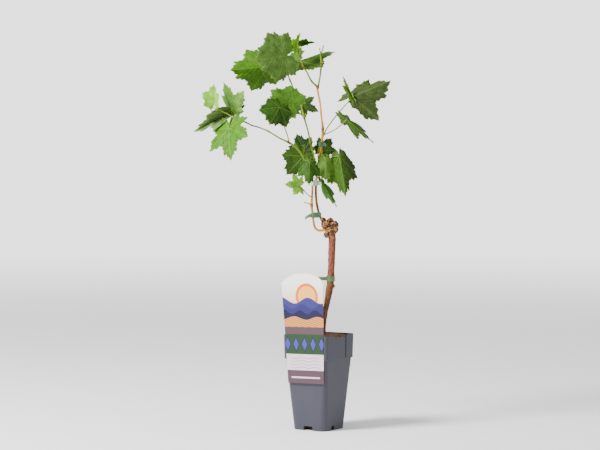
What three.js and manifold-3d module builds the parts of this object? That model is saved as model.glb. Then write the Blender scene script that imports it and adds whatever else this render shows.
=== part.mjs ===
// Potted grapevine: a young grafted vine with two tied canes, green shoots and lobed leaves,
// in a deep square nursery pot with a picture card hung on its rim. Millimetres, +Z up.
// The origin is the middle of the pot's underside, and the card hangs on the -Y side.

import * as THREE from 'three';
import { mergeVertices } from 'three/addons/utils/BufferGeometryUtils.js';
import Module from 'manifold-3d';

const wasm = await Module();
wasm.setup();

// Clearance between neighbouring pieces, and the size under which a facet is dropped
const GAP = 0.35;
const SLIVER = 0.12;

// Deep square pot: halves are half widths across the flats
const POT = {
  height: 238,
  rimHalf: 65.2,
  collarHalf: 64,
  collarBottom: 178,
  bodyTopHalf: 61,
  baseHalf: 49,
  topCorner: 8,
  baseCorner: 18,
  wall: 2,
  floor: 2.4,
  edge: 1.2,
};
// Drain mouths at the foot of the walls, and the dips in two sides of the rim
const DRAIN = { wide: 25.6, narrow: 13, narrowShift: 11.5, tall: 10.8, reach: 16, arch: 3, over: 6 };
const SADDLE = { deep: 6, flatHalf: 16, slopeHalf: 34, inward: 8, outward: 4 };
const COLLAR_GROOVE = { shift: 24, width: 3, deep: 1, bottom: 181 };

// Compost: a plug with a low mound that is flat where the trunk stands
const SOIL = {
  edge: 229,
  shoulder: 233.5,
  top: 236.6,
  roughness: 1.1,
  taper: 1.2,
  shoulderShare: 0.82,
  topShare: 0.6,
  topCorner: 20,
};

// Picture card, wider at its domed top, held by a tongue over the rim
const CARD = {
  thick: 0.7,
  bottomWidth: 105,
  topWidth: 123,
  below: 118.5,
  above: 130,
  dome: 25,
  domeRight: [0.86, 0.3],
  domeLeft: [0.45, 0.8, 0.6],
  lean: 0.0225,
  turn: 0.026,
  tongueWidth: 36,
  tongueDrop: 6,
  stand: 0.1,
  root: 0.3,
};

// The crown is laid out across its broad side: u to the right, d away, z up
const CROWN_TURN = THREE.MathUtils.degToRad(33.4);
const TRUNK_FOOT = 237;
const FOOT_CUT = { width: 60, tall: 20 };

// Sides round each kind of wood, and rings to each stretch of its path
const SIDES = { trunk: 10, limb: 8, spur: 6, stem: 5, stalk: 4 };
const STEPS = 2;

// Trunk path as [u, d, z, radius]: a flared foot, one kink at an old graft, then nearly upright
const TRUNK_PATH = [
  [9, -9, 231, 10.5], [10, -8, 242, 7.4], [13, -7, 273, 6.6], [17, -6, 298, 6.6], [22, -5, 323, 7.6],
  [26, -4, 348, 9], [29.5, -3, 371, 8.8], [30.5, -2, 396, 8.4], [32, 0, 432, 8.7], [33.5, 2, 476, 9.3],
  [31, 2, 512, 9],
];
// Knobs of old wood: [u, d, z, radius]
const KNOB = { detail: 1, lumps: 0.2, clear: 1.13 };
const TRUNK_KNOBS = [
  [32, 3, 499, 15.5], [17, 0, 512, 12], [39, 4, 511, 11], [11.5, -1, 523, 7.5], [29, 5, 522, 8],
  [20, -2, 487, 8.5], [36, -4, 358, 5], [24, 9, 505, 9], [40, -3, 500, 9],
];

// One tapering limb each, as [u, d, z, radius]; spurs are the short bits fused to it
const LIMBS = {
  left_cane: {
    colour: 0xc2853c,
    path: [
      [12, -3, 498, 3], [-1, -7, 498, 2.9], [-9, -9, 504, 2.8], [-13, -11, 518, 2.7], [-16, -12, 543, 2.6],
      [-18, -12, 560, 3.3], [-17, -11, 583, 2.5], [-16, -10, 606, 2.5], [-16, -14, 649, 2.4],
    ],
    spurs: [[[-18, -12, 562, 1.8], [-26, -14, 565, 1.3], [-32, -15, 567, 1.1], [-38, -18, 568, 1.2]]],
  },
  main_cane: {
    colour: 0xc98b45,
    path: [
      [14, 3, 515, 3.2], [6, 5, 526, 3.1], [-2, 6, 549, 3], [-7, 5, 581, 2.9], [-6, 4, 630, 2.9],
      [0, 6, 673, 2.8], [6, 8, 702, 2.8], [10, 10, 751, 3.1], [7, 10, 777, 2.4], [3, 10, 816, 2.3],
      [-3, 10, 853, 2.9],
    ],
    spurs: [],
  },
  side_strand: {
    colour: 0xb9c45a,
    path: [[-2, 3, 672, 1.2], [-2, 1, 690, 1.2], [1, 1, 706, 1.2], [5, 3, 722, 1]],
    spurs: [],
  },
  middle_shoot: {
    colour: 0x9cb83c,
    path: [
      [-16, -14, 650, 2.3], [-12, -22, 675, 2.2], [-15, -30, 692, 2], [-20, -36, 710, 2.3],
      [-27, -42, 744, 1.8], [-36, -38, 776, 2.1], [-49, -20, 823, 1.5], [-59, -12, 842, 1.4],
      [-72, -4, 872, 1.7],
    ],
    spurs: [
      [[-19, -35, 708, 1.1], [-15, -36, 706, 1], [-11, -37, 708, 0.9], [-6, -38, 713, 0.8]],
      [[-36, -38, 776, 1.1], [-34, -37, 783, 1], [-33, -36, 790, 1]],
    ],
  },
  left_shoot: {
    colour: 0x8fa83a,
    path: [
      [-17, -16, 655, 2.4], [-27, -28, 666, 2.6], [-36, -38, 678, 2.8], [-57, -55, 705, 2.5],
      [-75, -62, 717, 2.6], [-98, -66, 728, 1.9], [-126, -66, 745, 1.7], [-154, -60, 756, 1.6],
      [-166, -56, 759, 1.9],
    ],
    spurs: [],
  },
  top_left_shoot: {
    colour: 0xa4bd4a,
    path: [[-4, 10, 857, 2.4], [-18, 4, 870, 2.1], [-31, -2, 894, 1.7], [-39, -6, 906, 2.1]],
    spurs: [],
  },
  top_right_shoot: {
    colour: 0xa9b84a,
    path: [
      [-2, 10, 856, 2.3], [0, 12, 866, 2.1], [4, 16, 889, 1.9], [6, 20, 914, 2.3], [5, 22, 938, 1.6],
      [8, 24, 945, 1.5], [12, 26, 961, 1.3],
    ],
    spurs: [
      [[6, 20, 914, 1.4], [10, 19, 917, 1.5], [13, 18, 922, 2.2]],
      [[5, 22, 937, 1.1], [3, 20, 945, 1.1], [2, 18, 954, 1.3]],
    ],
  },
};

// Masses of leaves. A stem leaves its limb, and each leaf hangs on a stalk from a share of the stem.
// A leaf runs from its stalk's end to its tip; roll turns it about its midrib, and folds lift its halves.
// cut deepens the bays, spread under 1 opens the lobes, and skirt shortens the halves' lower lobes.
const MASSES = {
  far_left_leaves: {
    colour: 0x6f9c38,
    stem: [
      [-166, -56, 759, 1.6], [-183, -58, 768, 1.4], [-211, -56, 776, 1.3], [-222, -54, 785, 1.2],
      [-242, -50, 796, 1.1], [-259, -44, 816, 0.9],
    ],
    leaves: [
      {
        from: 0, at: [-214, -30, 796], tip: [-239, -40, 867], roll: 20,
        folds: [-50, 17], cut: 1, skirt: [0.7, 0.7],
      },
      {
        from: 0.15, at: [-210, -12, 801], tip: [-316, 6, 743], roll: 0,
        folds: [35, 35], wide: 0.27, skirt: [0.6, 0.6],
      },
      { from: 0.5, at: [-222, -62, 752], tip: [-222, -110, 676], roll: -38, folds: [0, 6], cut: 0.9 },
      { from: 1, at: [-259, -44, 816], tip: [-260, -54, 861], roll: 10, folds: [8, 58], cut: 0.5 },
    ],
    buds: [[-266, -52, 803], [-265, -54, 789]],
  },
  top_left_leaves: {
    colour: 0x5d8a30,
    stem: [[-72, -4, 872, 1.5], [-76, -2, 882, 1.4], [-82, 2, 893, 1.3]],
    leaves: [
      {
        from: 0.2, at: [-87, -22, 933], tip: [-156, -68, 920], roll: 0,
        folds: [4, 4], spread: 0.85, skirt: [0.8, 0.8],
      },
      { from: 0.6, at: [-127, 25, 909], tip: [-222, 8, 899], roll: 0, folds: [-35, -45], spread: 0.9 },
      { from: 1, at: [-114, 78, 915], tip: [-168, 100, 905], roll: 0, folds: [10, 10], droop: 0.15 },
    ],
    buds: [],
  },
  top_leaves: {
    colour: 0x3f6a22,
    stem: [[-39, -6, 906, 1.5], [-43, 2, 916, 1.3], [-47, 8, 927, 1.2]],
    leaves: [
      { from: 0.6, at: [-48, 30, 921], tip: [43, 30, 951], roll: 74, folds: [-7, -8], cut: 0.8 },
      { from: 1, at: [-53, 4, 953], tip: [-48, -4, 991], roll: 30, folds: [55, 55], wide: 0.6 },
      { from: 1, at: [-46, 16, 962], tip: [-10, 10, 968], roll: 10, folds: [50, 50], wide: 0.55 },
      { from: 0.8, at: [-58, 66, 925], tip: [-84, 112, 940], roll: 0, folds: [8, 8], droop: 0.2 },
    ],
    buds: [],
  },
  centre_leaves: {
    colour: 0x4f7c2a,
    stem: [[-36, -38, 777, 1.5], [-42, -33, 784, 1.3], [-47, -30, 789, 1.2]],
    leaves: [
      { from: 1, at: [-64, -45, 815], tip: [-120, -68, 846], roll: 6, folds: [12, 38], cut: 0.5 },
      { from: 0.5, at: [-42, 8, 812], tip: [0, -2, 796], roll: 20, folds: [34, 10], cut: 1.1 },
      { from: 0.8, at: [-70, 34, 805], tip: [-114, 54, 800], roll: 0, folds: [8, 8], droop: 0.2 },
    ],
    buds: [],
  },
  centre_left_leaf: {
    colour: 0x44701f,
    stem: [[-75, -62, 718, 1.3], [-77, -66, 731, 1.2], [-82, -72, 746, 1.1], [-90, -76, 768, 1]],
    leaves: [{ from: 1, at: [-98, -80, 803], tip: [-121, -118, 761], roll: 4, folds: [-8, -8], cut: 0.4 }],
    buds: [],
  },
  right_leaves: {
    colour: 0x567a33,
    stem: [[9, 9, 728, 1.4], [20, 6, 752, 1.3], [49, 0, 791, 1.2], [84, 0, 830, 1.1]],
    leaves: [
      {
        from: 1, at: [84, 0, 832], tip: [180, -10, 873], roll: 4, folds: [-67, -5],
        spread: 0.81, skirt: [0.9, 0.42],
      },
      {
        from: 0.12, at: [69, -20, 775], tip: [136, -42, 718], roll: 0,
        folds: [-64, -43], wide: 0.45, cut: 1,
      },
      { from: 1, at: [82, 4, 838], tip: [58, 6, 886], roll: 20, folds: [50, 40], wide: 0.3, cut: 1 },
      { from: 1, at: [112, 46, 836], tip: [160, 66, 850], roll: 0, folds: [8, 8], droop: 0.2 },
    ],
    buds: [],
  },
  low_left_leaves: {
    colour: 0x3f6a25,
    stem: [[-16, -13, 640, 1.4], [-20, -22, 652, 1.3], [-26, -32, 664, 1.2]],
    leaves: [
      {
        from: 1, at: [-26, -60, 683], tip: [-25, -74, 611], roll: 0, folds: [-20, -20],
        wide: 0.6, cut: 0.8, skirt: [0.8, 0.8],
      },
      { from: 0.4, at: [-40, -2, 683], tip: [-81, -16, 637], roll: 0, folds: [8, 8], cut: 0.5 },
      { from: 0.4, at: [-38, 30, 696], tip: [-56, 42, 740], roll: 0, folds: [10, 10], cut: 0.6 },
      { from: 0.2, at: [-40, 50, 672], tip: [-62, 90, 650], roll: 0, folds: [8, 8], droop: 0.2 },
    ],
    buds: [],
  },
  low_right_leaves: {
    colour: 0x4b7428,
    stem: [[-1, 6, 668, 1.4], [6, 0, 680, 1.3], [14, -6, 688, 1.2]],
    leaves: [
      {
        from: 0.8, at: [15, -24, 694], tip: [19, -44, 626], roll: 0, folds: [-36, -28],
        wide: 0.85, cut: 0.6,
      },
      {
        from: 1, at: [49, -20, 691], tip: [66, -45, 583], roll: 3,
        folds: [-20, -24], wide: 0.6, skirt: [0.7, 0.6],
      },
      { from: 0.4, at: [9, 46, 696], tip: [34, 56, 730], roll: 0, folds: [10, 10], cut: 0.6 },
      { from: 0.6, at: [52, 62, 655], tip: [56, 94, 605], roll: 0, folds: [8, 8], droop: 0.2 },
    ],
    buds: [],
  },
  hanging_leaf: {
    colour: 0x3c7a20,
    stem: [[-6, 4, 632, 1.3], [-2, 5, 630, 1.2], [3, 6, 624, 1.1]],
    leaves: [
      {
        from: 1, at: [7, 6, 618], tip: [45, -4, 556], roll: 0,
        folds: [-50, -50], wide: 0.42, skirt: [0.6, 0.6],
      },
    ],
    buds: [],
  },
  young_leaf: {
    colour: 0x7fae45,
    stem: [[-17, -11, 580, 1.1], [-26, -14, 586, 1], [-38, -17, 598, 0.9]],
    leaves: [{ from: 1, at: [-50, -20, 609], tip: [-84, -48, 614], roll: 0, folds: [38, 2], cut: 1 }],
    buds: [],
  },
};

// Tape ties: each loop runs round the named centres [u, d, radius] at one height
const TIES = {
  tie_trunk: {
    colour: 0x6f8f62, z: 377, tall: 13,
    round: [[29.7, -2.8, 9.2]], tail: [[21, -7.3], [-2, -12]],
  },
  tie_low: {
    colour: 0x2f7a63, z: 536, tall: 13,
    round: [[-15.3, -11.8, 3.1], [1.5, 5.6, 3.4]], tail: [[-17, -15], [-34, -20]],
  },
  tie_middle: {
    colour: 0xa9c4b4, z: 616, tall: 14,
    round: [[-16, -10.8, 3], [-6.3, 4.2, 3.3]], tail: [[-3.4, 1.2], [7, -3]],
  },
  tie_top: {
    colour: 0x4d6f63, z: 713, tall: 12,
    round: [[7.4, 8.4, 3.3], [2.6, 1.8, 1.8]], tail: [[10, 5], [19, 2]],
  },
};
const TAPE = { thick: 1.1, steps: 8, tailShare: 0.7 };

// Grape leaf: [angle off the midrib in degrees, reach as a share of the midrib]
const LOBES = [[0, 1], [52, 0.86], [106, 0.64], [150, 0.5]];
const SINUSES = [27, 80, 129];
const SINUS_SHALLOW = [0.88, 0.68, 0.5];
const SINUS_DEEP = [0.36, 0.28, 0.08];
const BASE_NOTCH = { angle: 173, reach: 0.1 };
const LOBE_POINT = 1.25;
const TEETH = [2, 1, 2, 1, 1, 1, 1];
const TOOTH_DEEP = 0.13;
const TOOTH_VALLEY = 0.25;
const SKIRT = { from: 60, to: 110 };

// Blade: thickness as a share of the midrib and at least, the soft crease along the midrib,
// the wave of the lobes, and the usual shape where a leaf names no other
const LEAF_THICK = { share: 0.016, least: 0.9 };
const CREASE = 0.05;
const WAVE = 0.05;
const USUAL_LEAF = { cut: 0.5, droop: 0.06, wide: 1, spread: 1, skirt: [1, 1] };

// Stalks sink into the blade and sag a little, and buds stand on short stalks
const STALK = { radii: [1.25, 1.05, 1], sink: 1.5, sag: 0.6, bow: 0.12, near: 2 };
const BUD = { stalk: 0.8, radius: 2.4, lumps: 0.3 };

const SEEDS = { soil: 11, trunk: 5, leaves: 31 };
const COLOURS = { pot: 0x6c6c76, compost: 0x7a4a2a, card: 0x7d6478, trunk: 0x7b5440 };

// Same order of random numbers on every run
function seeded(seed) {
  let state = seed;
  return () => {
    state = (state * 1664525 + 1013904223) % 4294967296;
    return state / 4294967296;
  };
}

const vector = (p) => new THREE.Vector3(p[0], p[1], p[2]);

// Closed solid from a list of rings with equal counts, capped at both ends
function skin(rings) {
  const count = rings[0].length;
  const positions = [];
  const index = [];
  const put = (p) => positions.push(p.x, p.y, p.z);
  rings.forEach((ring) => ring.forEach(put));
  for (let r = 0; r < rings.length - 1; r += 1) {
    for (let i = 0; i < count; i += 1) {
      const j = (i + 1) % count;
      const a = r * count;
      const b = a + count;
      index.push(a + i, a + j, b + j, a + i, b + j, b + i);
    }
  }
  const middle = (ring) => ring.reduce((sum, p) => sum.add(p), new THREE.Vector3()).divideScalar(count);
  const first = rings.length * count;
  const last = (rings.length - 1) * count;
  put(middle(rings[0]));
  put(middle(rings[rings.length - 1]));
  for (let i = 0; i < count; i += 1) {
    const j = (i + 1) % count;
    index.push(first, j, i, first + 1, last + i, last + j);
  }
  const geometry = new THREE.BufferGeometry();
  geometry.setAttribute('position', new THREE.Float32BufferAttribute(positions, 3));
  geometry.setIndex(index);
  return geometry;
}

// Closed geometry to an exact solid, and back
function solid(geometry) {
  const bare = new THREE.BufferGeometry();
  bare.setAttribute('position', geometry.getAttribute('position'));
  bare.setIndex(geometry.getIndex());
  const merged = mergeVertices(bare, 1e-4);
  return new wasm.Manifold(new wasm.Mesh({
    numProp: 3,
    vertProperties: Float32Array.from(merged.getAttribute('position').array),
    triVerts: Uint32Array.from(merged.getIndex().array),
  }));
}

// Main body of a solid, without loose scraps or slivers, as a mesh
function geometryOf(body) {
  const pieces = body.simplify(SLIVER).decompose();
  const mesh = pieces.reduce((best, piece) => (piece.volume() > best.volume() ? piece : best)).getMesh();
  const geometry = new THREE.BufferGeometry();
  geometry.setAttribute('position', new THREE.Float32BufferAttribute(mesh.vertProperties, 3));
  geometry.setIndex(Array.from(mesh.triVerts));
  return geometry;
}

function box(width, depth, height, x, y, z) {
  return solid(new THREE.BoxGeometry(width, depth, height).translate(x, y, z));
}

function paint(name, geometry, colour, roughness) {
  const mesh = new THREE.Mesh(
    geometry,
    new THREE.MeshStandardMaterial({ color: colour, roughness, metalness: 0 }),
  );
  mesh.name = name;
  return mesh;
}

// Ring of a square with round corners, anticlockwise from above
function squareRing(half, corner, z) {
  const steps = 5;
  const ring = [];
  for (let quarter = 0; quarter < 4; quarter += 1) {
    const centre = new THREE.Vector2(half - corner, half - corner)
      .rotateAround(new THREE.Vector2(), (quarter * Math.PI) / 2);
    for (let i = 0; i <= steps; i += 1) {
      const angle = ((quarter + i / steps) * Math.PI) / 2;
      const x = centre.x + corner * Math.cos(angle);
      ring.push(new THREE.Vector3(x, centre.y + corner * Math.sin(angle), z));
    }
  }
  return ring;
}

// Half width and corner radius of the pot body's outside at a height
function potBody(z, inset) {
  const share = z / POT.collarBottom;
  const half = THREE.MathUtils.lerp(POT.baseHalf, POT.bodyTopHalf, share) - inset;
  const corner = THREE.MathUtils.lerp(POT.baseCorner, POT.topCorner, share) - inset;
  return [half, corner];
}

function bodyRing(z, inset) {
  return squareRing(...potBody(z, inset), z);
}

// Mouth with a flat foot and rounded shoulders, cut through the wall along +Y
function drainMouth(width, shift) {
  const half = width / 2;
  const shape = new THREE.Shape();
  shape.moveTo(-half, -1);
  shape.lineTo(half, -1);
  shape.lineTo(half, DRAIN.tall - DRAIN.arch);
  shape.quadraticCurveTo(half, DRAIN.tall, half - DRAIN.arch, DRAIN.tall);
  shape.lineTo(DRAIN.arch - half, DRAIN.tall);
  shape.quadraticCurveTo(-half, DRAIN.tall, -half, DRAIN.tall - DRAIN.arch);
  const depth = DRAIN.reach + DRAIN.over;
  return new THREE.ExtrudeGeometry(shape, { depth, bevelEnabled: false, curveSegments: 3 })
    .rotateX(Math.PI / 2)
    .translate(shift, POT.baseHalf + DRAIN.over, 0);
}

function drainCutters() {
  return [0, 1, 2, 3].map((quarter) => {
    const wide = quarter % 2 === 0;
    const shift = wide ? 0 : DRAIN.narrowShift * (quarter === 1 ? -1 : 1);
    return solid(drainMouth(wide ? DRAIN.wide : DRAIN.narrow, shift).rotateZ((quarter * Math.PI) / 2));
  });
}

function potSolid() {
  const { height, rimHalf, collarHalf, collarBottom, topCorner, wall, floor, edge } = POT;
  let pot = solid(skin([
    squareRing(POT.baseHalf - edge, POT.baseCorner - edge, 0),
    bodyRing(edge, 0),
    bodyRing(collarBottom, 0),
    squareRing(collarHalf, topCorner, collarBottom),
    squareRing(rimHalf, topCorner, height - edge),
    squareRing(rimHalf - edge / 2, topCorner - edge / 2, height),
    squareRing(rimHalf - wall, topCorner - wall, height),
    squareRing(collarHalf - wall, topCorner - wall, collarBottom + wall),
    bodyRing(collarBottom - wall, wall),
    bodyRing(floor, wall),
  ]));
  drainCutters().forEach((cutter) => {
    pot = pot.subtract(cutter);
  });
  const dip = new THREE.Shape([
    new THREE.Vector2(-SADDLE.slopeHalf, 1),
    new THREE.Vector2(-SADDLE.slopeHalf, 0),
    new THREE.Vector2(-SADDLE.flatHalf, -SADDLE.deep),
    new THREE.Vector2(SADDLE.flatHalf, -SADDLE.deep),
    new THREE.Vector2(SADDLE.slopeHalf, 0),
    new THREE.Vector2(SADDLE.slopeHalf, 1),
  ]);
  const depth = SADDLE.inward + SADDLE.outward;
  [rimHalf - SADDLE.inward, -rimHalf - SADDLE.outward].forEach((start) => {
    const cutter = new THREE.ExtrudeGeometry(dip, { depth, bevelEnabled: false })
      .rotateX(Math.PI / 2)
      .rotateZ(Math.PI / 2)
      .translate(start, 0, height);
    pot = pot.subtract(solid(cutter));
  });
  const { shift, width, deep, bottom } = COLLAR_GROOVE;
  const tall = height - bottom;
  return pot.subtract(box(2 * deep, width, tall, rimHalf, shift, bottom + tall / 2));
}

// Compost plug inside the pot, its mound roughened by a seeded rule and flat in the middle
function soilSolid() {
  const random = seeded(SEEDS.soil);
  const inset = POT.wall + GAP;
  const collarInner = POT.rimHalf - inset - SOIL.taper;
  const share = SOIL.shoulderShare;
  const shoulder = squareRing(
    collarInner * share,
    THREE.MathUtils.lerp(SOIL.topCorner, POT.topCorner, share),
    SOIL.shoulder,
  );
  shoulder.forEach((p) => p.setZ(p.z + SOIL.roughness * (random() - 0.5)));
  let soil = solid(skin([
    bodyRing(POT.floor + GAP, inset),
    bodyRing(POT.collarBottom - POT.wall, inset),
    squareRing(POT.collarHalf - inset, POT.topCorner - inset, POT.collarBottom + POT.wall + GAP),
    squareRing(collarInner, POT.topCorner, SOIL.edge),
    shoulder,
    squareRing(collarInner * SOIL.topShare, SOIL.topCorner, SOIL.top),
  ]));
  drainCutters().forEach((cutter) => {
    soil = soil.subtract(cutter);
  });
  return soil;
}

// Card outline in its own plane, from its bottom edge up to the dome
function cardSolid() {
  const half = (height) => {
    const share = (height + CARD.below) / (CARD.below + CARD.above);
    return THREE.MathUtils.lerp(CARD.bottomWidth, CARD.topWidth, share) / 2;
  };
  const shoulder = half(CARD.above);
  const crest = CARD.above + CARD.dome;
  const shape = new THREE.Shape();
  shape.moveTo(-half(-CARD.below), -CARD.below);
  shape.lineTo(half(-CARD.below), -CARD.below);
  shape.lineTo(shoulder, CARD.above);
  const [outer, inward] = CARD.domeRight;
  shape.bezierCurveTo(shoulder * outer, crest, shoulder * inward, crest, 0, crest);
  const [near, far, low] = CARD.domeLeft;
  shape.bezierCurveTo(
    -shoulder * near, crest, -shoulder * far, CARD.above + CARD.dome * low, -shoulder, CARD.above,
  );
  const face = new THREE.ExtrudeGeometry(shape, { depth: CARD.thick, bevelEnabled: false, curveSegments: 8 })
    .rotateZ(CARD.turn)
    .rotateX(Math.PI / 2 + CARD.lean)
    .translate(0, -POT.rimHalf - GAP - CARD.stand, POT.height);
  const inner = POT.rimHalf - POT.wall - GAP;
  const bridge = POT.rimHalf + GAP + CARD.stand + CARD.root - inner + CARD.thick;
  const top = POT.height + GAP;
  return solid(face)
    .add(box(CARD.tongueWidth, bridge, CARD.thick, 0, -inner + CARD.thick - bridge / 2, top + CARD.thick / 2))
    .add(box(
      CARD.tongueWidth, CARD.thick, CARD.tongueDrop + CARD.thick,
      0, -inner + CARD.thick / 2, top + CARD.thick - (CARD.tongueDrop + CARD.thick) / 2,
    ));
}

// Tapering limb along a path of [u, d, z, radius]; grow adds an even clearance all round
function limb(path, sides, grow = 0, steps = STEPS) {
  const curve = new THREE.CatmullRomCurve3(path.map(vector), false, 'centripetal');
  const count = (path.length - 1) * steps;
  const rings = [];
  let across = null;
  for (let i = 0; i <= count; i += 1) {
    const t = i / count;
    const along = curve.getTangent(t);
    const centre = curve.getPoint(t);
    if (i === 0) centre.addScaledVector(along, -grow);
    if (i === count) centre.addScaledVector(along, grow);
    if (!across) across = new THREE.Vector3(along.z, -along.x, along.y + 0.3);
    across.addScaledVector(along, -across.dot(along)).normalize();
    const other = along.clone().cross(across);
    const before = Math.min(path.length - 2, Math.floor(i / steps));
    const share = i / steps - before;
    const radius = THREE.MathUtils.lerp(path[before][3], path[before + 1][3], share) + grow;
    rings.push(Array.from({ length: sides }, (_, k) => {
      const angle = (2 * Math.PI * k) / sides;
      return centre.clone()
        .addScaledVector(across, radius * Math.cos(angle))
        .addScaledVector(other, radius * Math.sin(angle));
    }));
  }
  return solid(skin(rings));
}

// Rough knob of old wood or a bud, lumpy by a seeded rule
function knob([u, d, z, radius], detail, lumps, random) {
  const geometry = new THREE.IcosahedronGeometry(radius, detail);
  geometry.deleteAttribute('normal');
  geometry.deleteAttribute('uv');
  const merged = mergeVertices(geometry, 1e-3);
  const place = merged.getAttribute('position');
  for (let i = 0; i < place.count; i += 1) {
    const gain = 1 + lumps * (random() - 0.5);
    place.setXYZ(i, place.getX(i) * gain, place.getY(i) * gain, place.getZ(i) * gain);
  }
  return solid(merged.translate(u, d, z));
}

function trunkSolid() {
  const random = seeded(SEEDS.trunk);
  let trunk = limb(TRUNK_PATH, SIDES.trunk);
  TRUNK_KNOBS.forEach((lump) => {
    trunk = trunk.add(knob(lump, KNOB.detail, KNOB.lumps, random));
  });
  const [u, d] = TRUNK_PATH[0];
  const { width, tall } = FOOT_CUT;
  return trunk.subtract(box(width, width, tall, u, d, TRUNK_FOOT - tall / 2));
}

// Reach of the leaf's edge without its teeth, at an angle off the midrib
function reachAt(angle, cut) {
  const a = Math.abs(angle);
  const floors = SINUSES.map((_, i) => SINUS_SHALLOW[i] - SINUS_DEEP[i] * cut);
  for (let i = 0; i < SINUSES.length; i += 1) {
    const [tip, reach] = LOBES[i];
    const [nextTip, nextReach] = LOBES[i + 1];
    if (a <= SINUSES[i]) {
      return floors[i] + (reach - floors[i]) * (1 - ((a - tip) / (SINUSES[i] - tip)) ** LOBE_POINT);
    }
    if (a <= nextTip) {
      const rise = 1 - ((nextTip - a) / (nextTip - SINUSES[i])) ** LOBE_POINT;
      return floors[i] + (nextReach - floors[i]) * rise;
    }
  }
  const [lastTip, lastReach] = LOBES[LOBES.length - 1];
  const share = Math.min(1, (a - lastTip) / (BASE_NOTCH.angle - lastTip));
  return lastReach + (BASE_NOTCH.reach - lastReach) * share ** 2;
}

// Half outline as [angle, reach]: teeth point towards the nearest lobe's tip
function halfOutline({ cut, spread }, skirt) {
  const stops = [0];
  SINUSES.forEach((sinus, i) => stops.push(sinus, LOBES[i + 1][0]));
  stops.push(BASE_NOTCH.angle);
  const points = [[0, 1]];
  TEETH.forEach((count, section) => {
    const rising = section % 2 === 1;
    const width = (stops[section + 1] - stops[section]) / count;
    for (let i = 0; i < count; i += 1) {
      const start = stops[section] + i * width;
      const valley = start + width * (rising ? TOOTH_VALLEY : 1 - TOOTH_VALLEY);
      const peak = start + (rising ? width : 0);
      const low = [valley, reachAt(valley, cut) * (1 - TOOTH_DEEP)];
      const high = [peak, reachAt(peak, cut)];
      if (rising) points.push(low, high);
      else if (i > 0) points.push(high, low);
      else points.push(low);
    }
  });
  points.push([BASE_NOTCH.angle, BASE_NOTCH.reach]);
  return points.map(([angle, reach]) => {
    const low = THREE.MathUtils.smoothstep(angle, SKIRT.from, SKIRT.to);
    return [BASE_NOTCH.angle * (angle / BASE_NOTCH.angle) ** spread, reach * (1 - (1 - skirt) * low)];
  });
}

// Point of the leaf's middle surface; x runs along the midrib and y to its left, both as shares of it
function leafPoint(leaf, x, y) {
  const { at, along, side, face, length, phase } = leaf;
  const fold = THREE.MathUtils.degToRad(y > 0 ? leaf.folds[0] : leaf.folds[1]);
  const off = Math.hypot(y, CREASE) - CREASE;
  const away = x * x + y * y;
  const wave = WAVE * Math.sin(3 * Math.atan2(y, x) + phase) * Math.sqrt(away);
  const lift = off * Math.sin(fold) - leaf.droop * away + wave;
  return at.clone()
    .addScaledVector(along, x * length)
    .addScaledVector(side, y * Math.cos(fold) * leaf.wide * length)
    .addScaledVector(face, lift * length);
}

// Frame of a leaf: its upper face looks to the front until roll turns it about the midrib
function placeLeaf(entry, random) {
  const at = vector(entry.at);
  const along = vector(entry.tip).sub(at);
  const length = along.length();
  along.normalize();
  const face = new THREE.Vector3(0, -1, 0);
  face.addScaledVector(along, -face.dot(along)).normalize();
  face.applyAxisAngle(along, THREE.MathUtils.degToRad(-entry.roll));
  const side = face.clone().cross(along);
  return { ...USUAL_LEAF, ...entry, at, along, side, face, length, phase: 2 * Math.PI * random() };
}

function leafSolid(leaf) {
  const right = halfOutline(leaf, leaf.skirt[1]).slice(1).reverse().map(([angle, reach]) => [-angle, reach]);
  const outline = [...right, ...halfOutline(leaf, leaf.skirt[0])];
  const count = outline.length;
  const thick = Math.max(LEAF_THICK.least, LEAF_THICK.share * leaf.length) / 2;
  const shell = (x, y) => {
    const here = leafPoint(leaf, x, y);
    const ahead = leafPoint(leaf, x + 0.01, y).sub(leafPoint(leaf, x - 0.01, y));
    const left = leafPoint(leaf, x, y + 0.01).sub(leafPoint(leaf, x, y - 0.01));
    const normal = ahead.cross(left).normalize();
    return [here.clone().addScaledVector(normal, thick), here.addScaledVector(normal, -thick)];
  };
  const pairs = [shell(0, 0)];
  outline.forEach(([angle, reach]) => {
    const turn = THREE.MathUtils.degToRad(angle);
    pairs.push(shell(reach * Math.cos(turn), reach * Math.sin(turn)));
  });
  const positions = pairs.flatMap(([top]) => [top.x, top.y, top.z])
    .concat(pairs.flatMap(([, under]) => [under.x, under.y, under.z]));
  const index = [];
  const face = (a, b, c) => index.push(a, b, c, a + pairs.length, c + pairs.length, b + pairs.length);
  for (let i = 0; i < count; i += 1) {
    const j = (i + 1) % count;
    face(0, 1 + i, 1 + j);
    const under = 1 + pairs.length;
    index.push(under + i, under + j, 1 + j, under + i, 1 + j, 1 + i);
  }
  const geometry = new THREE.BufferGeometry();
  geometry.setAttribute('position', new THREE.Float32BufferAttribute(positions, 3));
  geometry.setIndex(index);
  return solid(geometry);
}

// Leaf stalk from a share of the stem to just past the leaf's root, bowed by a seeded rule
function stalkPath(stem, from, leaf, random) {
  const reach = from * (stem.length - 1);
  const before = Math.min(stem.length - 2, Math.floor(reach));
  const start = vector(stem[before]).lerp(vector(stem[before + 1]), reach - before);
  const end = leaf.at.clone().addScaledVector(leaf.along, STALK.sink);
  const bow = new THREE.Vector3(random() - 0.5, random() - 0.5, -STALK.sag);
  const middle = start.clone().lerp(end, 0.5).addScaledVector(bow, STALK.bow * start.distanceTo(end));
  return [start, middle, end].map((point, i) => [...point.toArray(), STALK.radii[i]]);
}

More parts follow.
